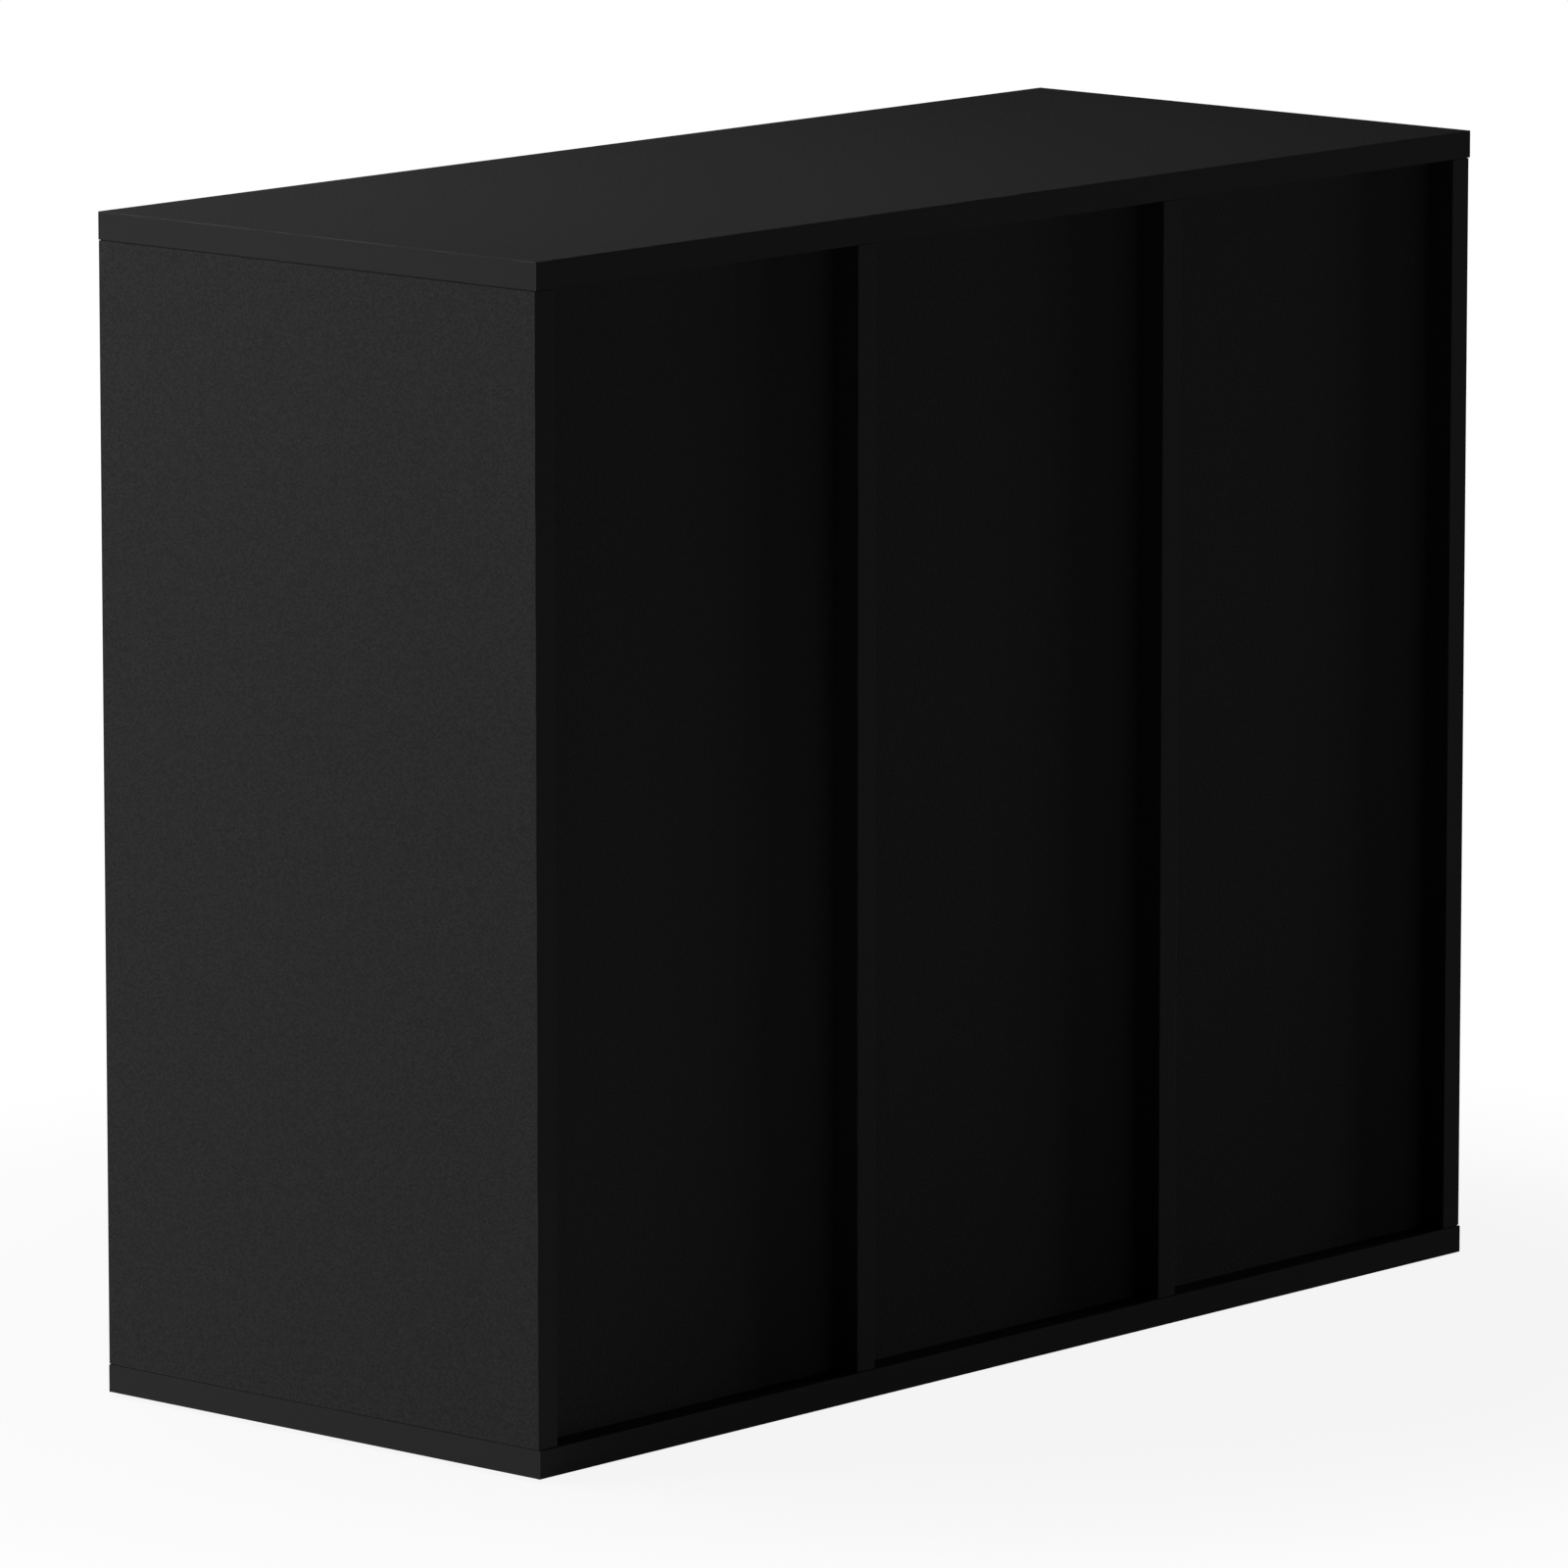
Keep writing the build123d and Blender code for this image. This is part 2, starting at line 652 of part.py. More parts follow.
with BuildPart() as roller:
    with BuildSketch(Plane.XY) as roller_section:
        Rectangle(flange_radius, roller_width, align=(Align.MIN, Align.CENTER))
        with Locations((ROLLER_RADIUS, 0)):
            Rectangle(RIB_GRIP, groove_of_roller, align=(Align.MIN, Align.CENTER), mode=Mode.SUBTRACT)
        chamfer(roller_section.vertices().group_by(Axis.X)[-1], FLANGE_CHAMFER)
        Rectangle(AXLE_RADIUS + AXLE_FIT, roller_width, align=(Align.MIN, Align.CENTER), mode=Mode.SUBTRACT)
    revolve(axis=Axis.Y)

with BuildPart() as axle:
    with BuildSketch(Plane.XZ):
        Circle(AXLE_RADIUS)
    extrude(amount=carriage_width / 2 - AXLE_END_GAP, both=True)

carriage_low = door_low - axle_level
with BuildPart() as carriage:
    with BuildSketch(Plane.XY.offset(carriage_low)):
        Rectangle(carriage_length, carriage_width)
    extrude(amount=CARRIAGE_EAR_HEIGHT)
    with BuildSketch(Plane.XY.offset(carriage_low)):
        Rectangle(carriage_body_length, carriage_width)
    extrude(amount=carriage_top - door_low)
    with BuildSketch(Plane.XY.offset(carriage_low)):
        Rectangle(slot_length, slot_width)
    extrude(amount=slot_top - door_low, mode=Mode.SUBTRACT)
    with BuildSketch(Plane.XZ):
        Circle(AXLE_RADIUS + AXLE_FIT)
    extrude(amount=carriage_width, both=True, mode=Mode.SUBTRACT)
    with Locations(*[downwards((x, 0, carriage_low)) for x in (-ear_shift, ear_shift)]):
        CounterSinkHole(SCREW_RADIUS + FIT, SCREW_HEAD_RADIUS + FIT, CARRIAGE_EAR_HEIGHT, SCREW_SINK_ANGLE)


# Top guide, drawn round the middle of the door's top edge

with BuildPart() as guide:
    with BuildSketch(Plane.XY):
        Rectangle(GUIDE_PLUG_LENGTH, GUIDE_PLUG_WIDTH)
    extrude(amount=-GUIDE_PLUG_DEPTH)
    with BuildSketch(Plane.XY):
        SlotOverall(GUIDE_LENGTH, GUIDE_WIDTH)
    extrude(amount=guide_top - door_high)
    chamfer(guide.edges().group_by(Axis.Z)[-1], GUIDE_CHAMFER)


# Cup pull, drawn with its rim on the plane and its cup below

pull_inner = PULL_RADIUS - PULL_WALL
pull_floor = PULL_WALL - PULL_DEPTH
with BuildPart() as pull:
    with BuildSketch(Plane.XZ) as pull_section:
        with Locations((0, -PULL_DEPTH)):
            Rectangle(PULL_RADIUS, PULL_DEPTH, align=Align.MIN)
        Rectangle(PULL_RIM_RADIUS, PULL_RIM, align=Align.MIN)
        with Locations((0, pull_floor)):
            Rectangle(pull_inner, PULL_RIM - pull_floor, align=Align.MIN, mode=Mode.SUBTRACT)
        fillet(pull_section.vertices().sort_by_distance((pull_inner, pull_floor))[0], PULL_CUP_ROUND)
        fillet(pull_section.vertices().sort_by_distance((PULL_RIM_RADIUS, PULL_RIM))[0], PULL_RIM_ROUND)
    revolve(axis=Axis.Z)


# Doors: panel, bands and the gear that each door carries


def door_panel(x, lane, pull_x):
    """A door board, mortised for its carriages and guides and bored for its pull."""
    core_height = door_high - door_low - 2 * BAND
    carriage_points = [(x - carriage_shift, lane), (x + carriage_shift, lane)]
    screw_points = [(cx + side * ear_shift, lane) for cx, _ in carriage_points for side in (-1, 1)]
    with BuildPart() as panel:
        with BuildSketch(facing(lane + DOOR_BOARD / 2)):
            with Locations((x, door_middle_level)):
                Rectangle(door_width - 2 * BAND, core_height)
        extrude(amount=DOOR_BOARD)
        with BuildSketch(facing(lane - DOOR_BOARD / 2)):
            with Locations((pull_x, door_middle_level)):
                Circle(PULL_RADIUS + FIT)
        extrude(amount=-PULL_DEPTH, mode=Mode.SUBTRACT)
        with BuildSketch(level(door_low)):
            with Locations(*carriage_points):
                Rectangle(carriage_length + 2 * MORTISE_PLAY, carriage_width + 2 * MORTISE_PLAY)
        extrude(amount=CARRIAGE_EAR_HEIGHT, mode=Mode.SUBTRACT)
        with BuildSketch(level(door_low)):
            with Locations(*carriage_points):
                Rectangle(carriage_body_length + 2 * MORTISE_PLAY, carriage_width + 2 * MORTISE_PLAY)
        extrude(amount=carriage_top - door_low + MORTISE_PLAY, mode=Mode.SUBTRACT)
        with BuildSketch(level(ear_top)):
            with Locations(*screw_points):
                Circle(SCREW_RADIUS + FIT)
        extrude(amount=SCREW_LENGTH - CARRIAGE_EAR_HEIGHT + FIT, mode=Mode.SUBTRACT)
        with BuildSketch(level(door_high)):
            with Locations((x - guide_shift, lane), (x + guide_shift, lane)):
                Rectangle(GUIDE_PLUG_LENGTH + 2 * MORTISE_PLAY, GUIDE_PLUG_WIDTH + 2 * MORTISE_PLAY)
        extrude(amount=-GUIDE_PLUG_DEPTH, mode=Mode.SUBTRACT)
    return panel


def door_bands(x, lane):
    """Bands round a door: upright ones at its ends, level ones between, open at the mortises."""
    strips = []
    level_start = x - door_width / 2 + BAND + BAND_SEAM
    level_length = door_width - 2 * BAND - 2 * BAND_SEAM
    height = door_high - door_low
    for side in (-1, 1):
        upright_place = (x + side * (door_width / 2 - BAND), lane, door_low)
        strips.append(edge_strip(upright_place, (0, 0, 1), (side, 0, 0), height, DOOR_BOARD))
        level_place = (level_start, lane, door_middle_level + side * (height / 2 - BAND))
        strips.append(edge_strip(level_place, (1, 0, 0), (0, 0, side), level_length, DOOR_BOARD))
    with BuildPart() as bands:
        add(strips)
        with BuildSketch(level(door_low)):
            with Locations((x - carriage_shift, lane), (x + carriage_shift, lane)):
                Rectangle(carriage_length + 2 * MORTISE_PLAY, carriage_width + 2 * MORTISE_PLAY)
        extrude(amount=BAND, mode=Mode.SUBTRACT)
        with BuildSketch(level(door_high)):
            with Locations((x - guide_shift, lane), (x + guide_shift, lane)):
                Rectangle(GUIDE_PLUG_LENGTH + 2 * MORTISE_PLAY, GUIDE_PLUG_WIDTH + 2 * MORTISE_PLAY)
        extrude(amount=-BAND, mode=Mode.SUBTRACT)
    return bands


for name in DOORS:
    x = door_middles[name]
    lane = door_lanes[name]
    pull_x = x + pull_shifts[name]
    axle_points = [(x - carriage_shift, lane, axle_level), (x + carriage_shift, lane, axle_level)]
    guide_points = [(x - guide_shift, lane, door_high), (x + guide_shift, lane, door_high)]
    pull_place = Plane(origin=(pull_x, lane - DOOR_BOARD / 2, door_middle_level), z_dir=(0, -1, 0))
    screw_places = []
    for cx, _, _ in axle_points:
        screw_places += [downwards((cx + side * ear_shift, lane, door_low)) for side in (-1, 1)]
    save(door_panel(x, lane, pull_x), f"{name}_door_panel")
    save(door_bands(x, lane), f"{name}_door_edge_bands")
    save(group(pull.part, [pull_place]), f"{name}_door_pull")
    save(group(carriage.part, axle_points), f"{name}_door_carriages")
    save(group(axle.part, axle_points), f"{name}_door_axles")
    save(group(screw.part, screw_places), f"{name}_door_carriage_screws")
    save(group(guide.part, guide_points), f"{name}_door_guides")
    for end, point in zip(("left", "right"), axle_points):
        save(group(roller.part, [point]), f"{name}_door_{end}_roller")
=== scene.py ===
# %% [markdown]
# # A low black cabinet with three sliding doors
# The cabinet is built of black melamine-faced board, the flat-pack way: boards, glued-on edge bands, cam
# fittings, aluminium tracks and doors on small nylon rollers. Its construction model already has every
# board and fitting in its true place, so this lesson starts from that model as a fixed frame and adds
# what a construction model lacks: finishes, finer small parts, light and a camera. Everything is in
# metres. The floor is at z = 0, the doors look towards -Y and the back panels towards +Y.

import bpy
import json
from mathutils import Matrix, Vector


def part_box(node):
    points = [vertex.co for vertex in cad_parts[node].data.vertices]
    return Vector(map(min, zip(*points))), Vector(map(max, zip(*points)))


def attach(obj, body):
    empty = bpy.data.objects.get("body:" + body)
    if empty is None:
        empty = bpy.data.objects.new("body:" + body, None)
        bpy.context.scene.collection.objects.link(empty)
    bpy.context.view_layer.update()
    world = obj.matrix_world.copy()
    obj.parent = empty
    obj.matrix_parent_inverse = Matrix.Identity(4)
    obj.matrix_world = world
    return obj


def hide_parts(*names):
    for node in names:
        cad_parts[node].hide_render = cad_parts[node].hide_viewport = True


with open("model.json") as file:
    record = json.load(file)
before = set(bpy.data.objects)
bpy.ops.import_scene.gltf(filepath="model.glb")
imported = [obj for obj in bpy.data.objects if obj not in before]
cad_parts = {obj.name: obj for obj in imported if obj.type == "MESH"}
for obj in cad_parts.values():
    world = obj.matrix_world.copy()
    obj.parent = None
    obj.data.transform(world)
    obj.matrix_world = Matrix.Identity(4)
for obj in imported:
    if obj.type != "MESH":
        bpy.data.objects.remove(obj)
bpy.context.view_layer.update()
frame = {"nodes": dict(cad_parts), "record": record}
print("pieces in the frame:", len(frame["nodes"]))

# %% [markdown]
# ## Building finishes from nodes
# Every finish here is a node tree, so it has detail at any distance and needs no pictures. The same few
# moves come back in all of them: add a node, mix two colours by a mask, spread a roughness by a mask,
# and raise the surface by a height. Writing each move once as a small function keeps the materials below
# short. Values that are the same all over a surface are set straight on the shader's own sockets.

# %% Add, reckon and map
import bpy

# The whole range of a mask.
FULL = (0.0, 1.0)


def add_node(tree, kind, **values):
    """A new node, with its inputs set by name (an underscore stands for a space)."""
    node = tree.nodes.new(kind)
    for name, value in values.items():
        node.inputs[name.replace("_", " ")].default_value = value
    return node


def math_node(tree, operation, first, second):
    """A Math node between two values; each may be a number or another node's output."""
    node = tree.nodes.new("ShaderNodeMath")
    node.operation = operation
    for socket, value in zip(node.inputs, (first, second)):
        if isinstance(value, (int, float)):
            socket.default_value = value
        else:
            tree.links.new(value, socket)
    return node.outputs[0]


def vector_node(tree, operation, first, second):
    """A Vector Math node between two vectors."""
    node = tree.nodes.new("ShaderNodeVectorMath")
    node.operation = operation
    tree.links.new(first, node.inputs[0])
    tree.links.new(second, node.inputs[1])
    return node.outputs[0]


def spread(tree, value, old, new):
    """Maps a value softly from an old range to a new one, and holds it there."""
    node = tree.nodes.new("ShaderNodeMapRange")
    node.interpolation_type = "SMOOTHSTEP"
    tree.links.new(value, node.inputs["Value"])
    for label, limit in zip(("From Min", "From Max", "To Min", "To Max"), (*old, *new)):
        node.inputs[label].default_value = limit
    return node.outputs["Result"]


print("a value is spread between", FULL)

# %% Start a finish, colour it and raise its surface
# A Mix node keeps its colour sockets after those for numbers and vectors, at these places.
MIX_DARK = 6
MIX_LIGHT = 7
MIX_COLOUR = 2


def grey(level):
    """A neutral colour."""
    return (level, level, level, 1.0)


def new_finish(name, **values):
    """A new material with one Principled shader, whose even values are set on its own sockets."""
    material = bpy.data.materials.new(name)
    material.use_nodes = True
    tree = material.node_tree
    shader = tree.nodes["Principled BSDF"]
    for label, value in values.items():
        shader.inputs[label.replace("_", " ")].default_value = value
    return material, tree, shader


def colour_between(tree, shader, mask, dark, light):
    """Paints the shader from dark to light by a mask."""
    mix = tree.nodes.new("ShaderNodeMix")
    mix.data_type = "RGBA"
    tree.links.new(mask, mix.inputs["Factor"])
    mix.inputs[MIX_DARK].default_value = dark
    mix.inputs[MIX_LIGHT].default_value = light
    tree.links.new(mix.outputs[MIX_COLOUR], shader.inputs["Base Color"])
    return mix


def raise_surface(tree, shader, height, depth):
    """Gives the shader a relief, depth metres high."""
    bump = add_node(tree, "ShaderNodeBump", Distance=depth)
    tree.links.new(height, bump.inputs["Height"])
    tree.links.new(bump.outputs["Normal"], shader.inputs["Normal"])


print("middle grey is", grey(0.5))

# %% Make and place node groups
def new_group(name, inputs, outputs):
    """A node group with float or vector inputs, given as name and first value, and float outputs."""
    group = bpy.data.node_groups.new(name, "ShaderNodeTree")
    for label, value in inputs.items():
        kind = "NodeSocketFloat" if isinstance(value, float) else "NodeSocketVector"
        socket = group.interface.new_socket(label, in_out="INPUT", socket_type=kind)
        socket.default_value = value
    for label in outputs:
        group.interface.new_socket(label, in_out="OUTPUT", socket_type="NodeSocketFloat")
    return group, group.nodes.new("NodeGroupInput"), group.nodes.new("NodeGroupOutput")


def place_group(tree, group, **values):
    """Puts a group into a material, with its own values."""
    node = tree.nodes.new("ShaderNodeGroup")
    node.node_tree = group
    for name, value in values.items():
        node.inputs[name.replace("_", " ")].default_value = value
    return node


print("node helpers are ready")

# %% [markdown]
# ## Effects that several finishes share
# Melamine is pressed against an etched steel plate, which leaves a fine pebbled relief, called pearl; its
# colour is painted darker in the hollows, a painted shade. Handling leaves broad soft patches that are a
# little shinier. Corners that get knocked rub pale in short stretches, which also paint a highlight along
# the corners. Drawn and brushed metal has long fine lines. Each of these could be painted by hand on
# every piece. As a node group it is built once, follows the place on the object, and puts out masks and
# heights for any finish.

# %% Pearl relief, with painted shade in its hollows
FINE_SCALE = 3.1
FINE_SHARE = 0.2
# The colour mask is the relief's own noise: darker in the hollows, a painted shade of the relief.
MOTTLE_AND_HOLLOW_SHADE_RANGE = (0.36, 0.64)


def noise_output(tree, vector, scale, detail):
    """A noise pattern's value at a place."""
    noise = add_node(tree, "ShaderNodeTexNoise", Scale=scale, Detail=detail)
    tree.links.new(vector, noise.inputs["Vector"])
    return noise.outputs["Fac"]


pearl, pearl_in, pearl_out = new_group("pearl relief", {"Grains per metre": 400.0}, ["Height", "Mottle and hollow shade"])
pearl_place = pearl.nodes.new("ShaderNodeTexCoord").outputs["Object"]
grain = pearl.nodes.new("ShaderNodeVectorMath")
grain.operation = "SCALE"
pearl.links.new(pearl_place, grain.inputs[0])
pearl.links.new(pearl_in.outputs["Grains per metre"], grain.inputs["Scale"])
coarse = noise_output(pearl, grain.outputs[0], scale=1.0, detail=1.0)
fine = noise_output(pearl, grain.outputs[0], scale=FINE_SCALE, detail=1.0)
pebbles = math_node(pearl, "ADD", coarse, math_node(pearl, "MULTIPLY", fine, FINE_SHARE))
pearl.links.new(pebbles, pearl_out.inputs["Height"])
# Painted shade: the colour mask is darker where the relief is low.
pearl.links.new(spread(pearl, coarse, MOTTLE_AND_HOLLOW_SHADE_RANGE, FULL), pearl_out.inputs["Mottle and hollow shade"])
print("group:", pearl.name)

# %% Handling patches
PATCH_RANGE = (0.35, 0.7)
handling, handling_in, handling_out = new_group("handling patches", {"Patches per metre": 7.0}, ["Patch"])
patch_place = handling.nodes.new("ShaderNodeTexCoord").outputs["Object"]
patch = add_node(handling, "ShaderNodeTexNoise", Detail=4.0, Roughness=0.6, Distortion=0.6)
handling.links.new(patch_place, patch.inputs["Vector"])
handling.links.new(handling_in.outputs["Patches per metre"], patch.inputs["Scale"])
handling.links.new(spread(handling, patch.outputs["Fac"], PATCH_RANGE, FULL), handling_out.inputs["Patch"])
print("group:", handling.name)

# %% Rubbed corners of a board with a painted highlight, found from the board's own box
STRETCHES_PER_METRE = 30.0
STRETCH_RANGE = (0.4, 0.62)
corner_wear_and_highlight, corner_wear_and_highlight_in, corner_wear_and_highlight_out = new_group(
    "worn and highlit corners", {"Low": (0.0, 0.0, 0.0), "High": (1.0, 1.0, 1.0), "Reach": 0.001}, ["Mask"]
)
rub_place = corner_wear_and_highlight.nodes.new("ShaderNodeTexCoord").outputs["Object"]
from_low = vector_node(corner_wear_and_highlight, "SUBTRACT", rub_place, corner_wear_and_highlight_in.outputs["Low"])
from_high = vector_node(corner_wear_and_highlight, "SUBTRACT", corner_wear_and_highlight_in.outputs["High"], rub_place)
nearest = corner_wear_and_highlight.nodes.new("ShaderNodeSeparateXYZ")
corner_wear_and_highlight.links.new(vector_node(corner_wear_and_highlight, "MINIMUM", from_low, from_high), nearest.inputs[0])
across, along, upward = nearest.outputs
largest = math_node(corner_wear_and_highlight, "MAXIMUM", across, math_node(corner_wear_and_highlight, "MAXIMUM", along, upward))
smallest = math_node(corner_wear_and_highlight, "MINIMUM", across, math_node(corner_wear_and_highlight, "MINIMUM", along, upward))
total = math_node(corner_wear_and_highlight, "ADD", across, math_node(corner_wear_and_highlight, "ADD", along, upward))
to_corner = math_node(corner_wear_and_highlight, "SUBTRACT", math_node(corner_wear_and_highlight, "SUBTRACT", total, largest), smallest)
closeness = math_node(corner_wear_and_highlight, "SUBTRACT", 1.0, math_node(corner_wear_and_highlight, "DIVIDE", to_corner, corner_wear_and_highlight_in.outputs["Reach"]))
knocks_and_glints = noise_output(corner_wear_and_highlight, rub_place, scale=STRETCHES_PER_METRE, detail=3.0)
stretches = spread(corner_wear_and_highlight, knocks_and_glints, STRETCH_RANGE, FULL)
# Pale stretches along the corners: rubbing wear, and a painted highlight.
worn_and_highlit_mask = math_node(corner_wear_and_highlight, "MULTIPLY", spread(corner_wear_and_highlight, closeness, FULL, FULL), stretches)
corner_wear_and_highlight.links.new(worn_and_highlit_mask, corner_wear_and_highlight_out.inputs["Mask"])
print("group:", corner_wear_and_highlight.name)

# %% Long fine lines of drawn or brushed metal
SCRATCH_SCALE = 0.35
SCRATCH_RANGE = (0.62, 0.72)
lines, lines_in, lines_out = new_group("fine lines", {"Stretch": (4.0, 1500.0, 1500.0)}, ["Line", "Scratch"])
lines_place = lines.nodes.new("ShaderNodeTexCoord").outputs["Object"]
stretched = vector_node(lines, "MULTIPLY", lines_place, lines_in.outputs["Stretch"])
lines.links.new(noise_output(lines, stretched, scale=1.0, detail=3.0), lines_out.inputs["Line"])
scratches = noise_output(lines, stretched, scale=SCRATCH_SCALE, detail=1.0)
lines.links.new(spread(lines, scratches, SCRATCH_RANGE, FULL), lines_out.inputs["Scratch"])
print("group:", lines.name)

# %% [markdown]
# ## Black boards
# The boards are nearly black, but not flat: the pearl relief breaks the light into a fine mottle, and
# the surface is so matt that it mirrors almost nothing. The relief could be modelled, but with nearly
# half a million pebbles on each square metre a bump is the only sensible way. The colour is painted a
# little darker in the hollows of the relief and lighter on its pebbles, a painted shade beside the bump's
# own. The thin back panels have a slightly darker, smoother facing.

# %% Melamine of the boards and facing of the back panels
CLEAN_BOARD = 0.62
HANDLED_BOARD = 0.54


def board_finish(name, dark, light, grains, relief):
    """Matt black board with a pearl relief, handled here and there."""
    material, tree, shader = new_finish(name, Specular_IOR_Level=0.0)
    surface = place_group(tree, pearl, Grains_per_metre=grains)
    touched = place_group(tree, handling)
    # The colour is painted darker in the relief's hollows, as painted shade.
    colour_between(tree, shader, surface.outputs["Mottle and hollow shade"], grey(dark), grey(light))
    roughness = spread(tree, touched.outputs["Patch"], FULL, (CLEAN_BOARD, HANDLED_BOARD))
    tree.links.new(roughness, shader.inputs["Roughness"])
    raise_surface(tree, shader, surface.outputs["Height"], relief)
    return material


melamine = board_finish("black melamine", dark=0.0193, light=0.0264, grains=680.0, relief=0.0004)
facing = board_finish("black facing", dark=0.0207, light=0.0237, grains=520.0, relief=0.0003)
print("boards:", melamine.name, "and", facing.name)

# %% [markdown]
# ## Edge bands
# The cut edges of the boards carry a millimetre of matt black plastic band, smoother than the melamine
# beside it. Where its corners stand free they get knocked and rub pale in stretches, and the same pale
# stretches are a painted highlight along those corners. Painting that by hand would take a map of the
# whole cabinet. Here it is worked out from the box that the bands go round, so each set has its own copy
# of the finish. Corners that lie against another board are kept out of it by moving that end of the box
# far away.

# %% Edge bands, rubbed pale with a painted highlight where their corners stand free
from mathutils import Vector

FAR_AWAY = Vector((0, 0, 1))
LIE_ON_BOARD_BELOW = ("top_edge_bands", "side_edge_bands", "divider_edge_bands")
LIE_ON_BOARD_ABOVE = ("bottom_edge_bands", "side_edge_bands", "divider_edge_bands")
BAND_GRAINS = 900.0
BAND_RELIEF = 0.0001
BAND_DARK = grey(0.0223)
BAND_LIGHT = grey(0.0237)
# Pale colour of the corners: rubbing wear, and a painted highlight along them.
BAND_WORN_AND_HIGHLIT = grey(0.036)
WEAR_AND_HIGHLIGHT_REACH = 0.001
CLEAN_BAND = 0.58
HANDLED_BAND = 0.48


def band_finish(node_name):
    """Smooth matt black band, rubbed pale along the free corners of the box that it goes round, which is
    wear and a painted highlight.
    """
    low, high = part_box(node_name)
    if node_name in LIE_ON_BOARD_BELOW:
        low = low - FAR_AWAY
    if node_name in LIE_ON_BOARD_ABOVE:
        high = high + FAR_AWAY
    material, tree, shader = new_finish(f"{node_name} finish", Specular_IOR_Level=0.0)
    surface = place_group(tree, pearl, Grains_per_metre=BAND_GRAINS)
    worn_and_highlit = place_group(tree, corner_wear_and_highlight, Low=low, High=high, Reach=WEAR_AND_HIGHLIGHT_REACH)
    touched = place_group(tree, handling)
    # The band's colour is painted darker in the relief's hollows, as painted shade.
    plain = colour_between(tree, shader, surface.outputs["Mottle and hollow shade"], BAND_DARK, BAND_LIGHT)
    paler_and_highlit = colour_between(tree, shader, worn_and_highlit.outputs["Mask"], BAND_DARK, BAND_WORN_AND_HIGHLIT)
    # What isn't rubbed keeps the mottled colour with its painted shade; the pale stretches are wear and a
    # painted highlight.
    tree.links.new(plain.outputs[MIX_COLOUR], paler_and_highlit.inputs[MIX_DARK])
    roughness = spread(tree, touched.outputs["Patch"], FULL, (CLEAN_BAND, HANDLED_BAND))
    tree.links.new(roughness, shader.inputs["Roughness"])
    raise_surface(tree, shader, surface.outputs["Height"], BAND_RELIEF)
    return material


print("bands wear pale with a painted highlight", WEAR_AND_HIGHLIGHT_REACH, "metres from a corner")

# %% [markdown]
# ## Metal, nylon, rubber and beech
# The small parts are what they are on any flat-pack cabinet: anodised aluminium tracks, zinc-plated
# screws, cast zinc cams, natural nylon rollers, black plastic guides and glides, rubber bumpers and
# beech dowels. Each has the marks of how it is made: drawn lines along an extrusion, a grain in a
# casting, a fine etch on moulded plastic. Seven materials could be set up one by one. Two functions, one
# for metal and one for all the rest, hold what they share.

# %% Finishes for metal, and for plastic, rubber and wood
METAL_PATCHES = 60.0
POLISHED = -0.04
DULLED = 0.06
SCRATCHED = 0.08
GRAINED_PATCHES = 40.0
GRAINED_SPREAD = 0.05


def metal_finish(name, dark, light, roughness, stretch, depth):
    """Metal with fine lines along the axis that is stretched least."""
    material, tree, shader = new_finish(name, Metallic=1.0)
    marks = place_group(tree, lines, Stretch=stretch)
    touched = place_group(tree, handling, Patches_per_metre=METAL_PATCHES)
    colour_between(tree, shader, marks.outputs["Line"], dark, light)
    patchy = spread(tree, touched.outputs["Patch"], FULL, (roughness + POLISHED, roughness + DULLED))
    scratched = math_node(tree, "MULTIPLY", marks.outputs["Scratch"], SCRATCHED)
    tree.links.new(math_node(tree, "ADD", patchy, scratched), shader.inputs["Roughness"])
    raise_surface(tree, shader, marks.outputs["Line"], depth)
    return material


def grained_finish(name, dark, light, roughness, grains, depth, **values):
    """Plastic, rubber or wood with a fine grain on its surface."""
    material, tree, shader = new_finish(name, **values)
    surface = place_group(tree, pearl, Grains_per_metre=grains)
    touched = place_group(tree, handling, Patches_per_metre=GRAINED_PATCHES)
    # The colour is painted darker in the grain's hollows, as painted shade.
    colour_between(tree, shader, surface.outputs["Mottle and hollow shade"], dark, light)
    dull_and_shiny = (roughness + GRAINED_SPREAD, roughness - GRAINED_SPREAD)
    patchy = spread(tree, touched.outputs["Patch"], FULL, dull_and_shiny)
    tree.links.new(patchy, shader.inputs["Roughness"])
    raise_surface(tree, shader, surface.outputs["Height"], depth)
    return material


print("metal is polished by", POLISHED, "and dulled by", DULLED)

# %% Finishes of the small parts
aluminium = metal_finish(
    "satin aluminium", dark=(0.42, 0.43, 0.44, 1), light=(0.54, 0.55, 0.56, 1),
    roughness=0.38, stretch=(3.0, 1600.0, 1600.0), depth=0.00006,
)
plated_steel = metal_finish(
    "plated steel", dark=(0.42, 0.42, 0.41, 1), light=(0.54, 0.54, 0.56, 1),
    roughness=0.30, stretch=(700.0, 700.0, 300.0), depth=0.00004,
)
cast_zinc = metal_finish(
    "cast zinc", dark=(0.33, 0.33, 0.34, 1), light=(0.43, 0.43, 0.44, 1),
    roughness=0.46, stretch=(900.0, 900.0, 900.0), depth=0.0001,
)
nylon = grained_finish(
    "natural nylon", dark=(0.74, 0.73, 0.68, 1), light=(0.82, 0.81, 0.77, 1),
    roughness=0.42, grains=900.0, depth=0.00001, Subsurface_Weight=0.15,
)
black_plastic = grained_finish(
    "black plastic", dark=grey(0.022), light=grey(0.028), roughness=0.5, grains=1600.0, depth=0.00002
)
rubber = grained_finish(
    "black rubber", dark=grey(0.016), light=grey(0.024),
    roughness=0.78, grains=1400.0, depth=0.00002, Specular_IOR_Level=0.3,
)
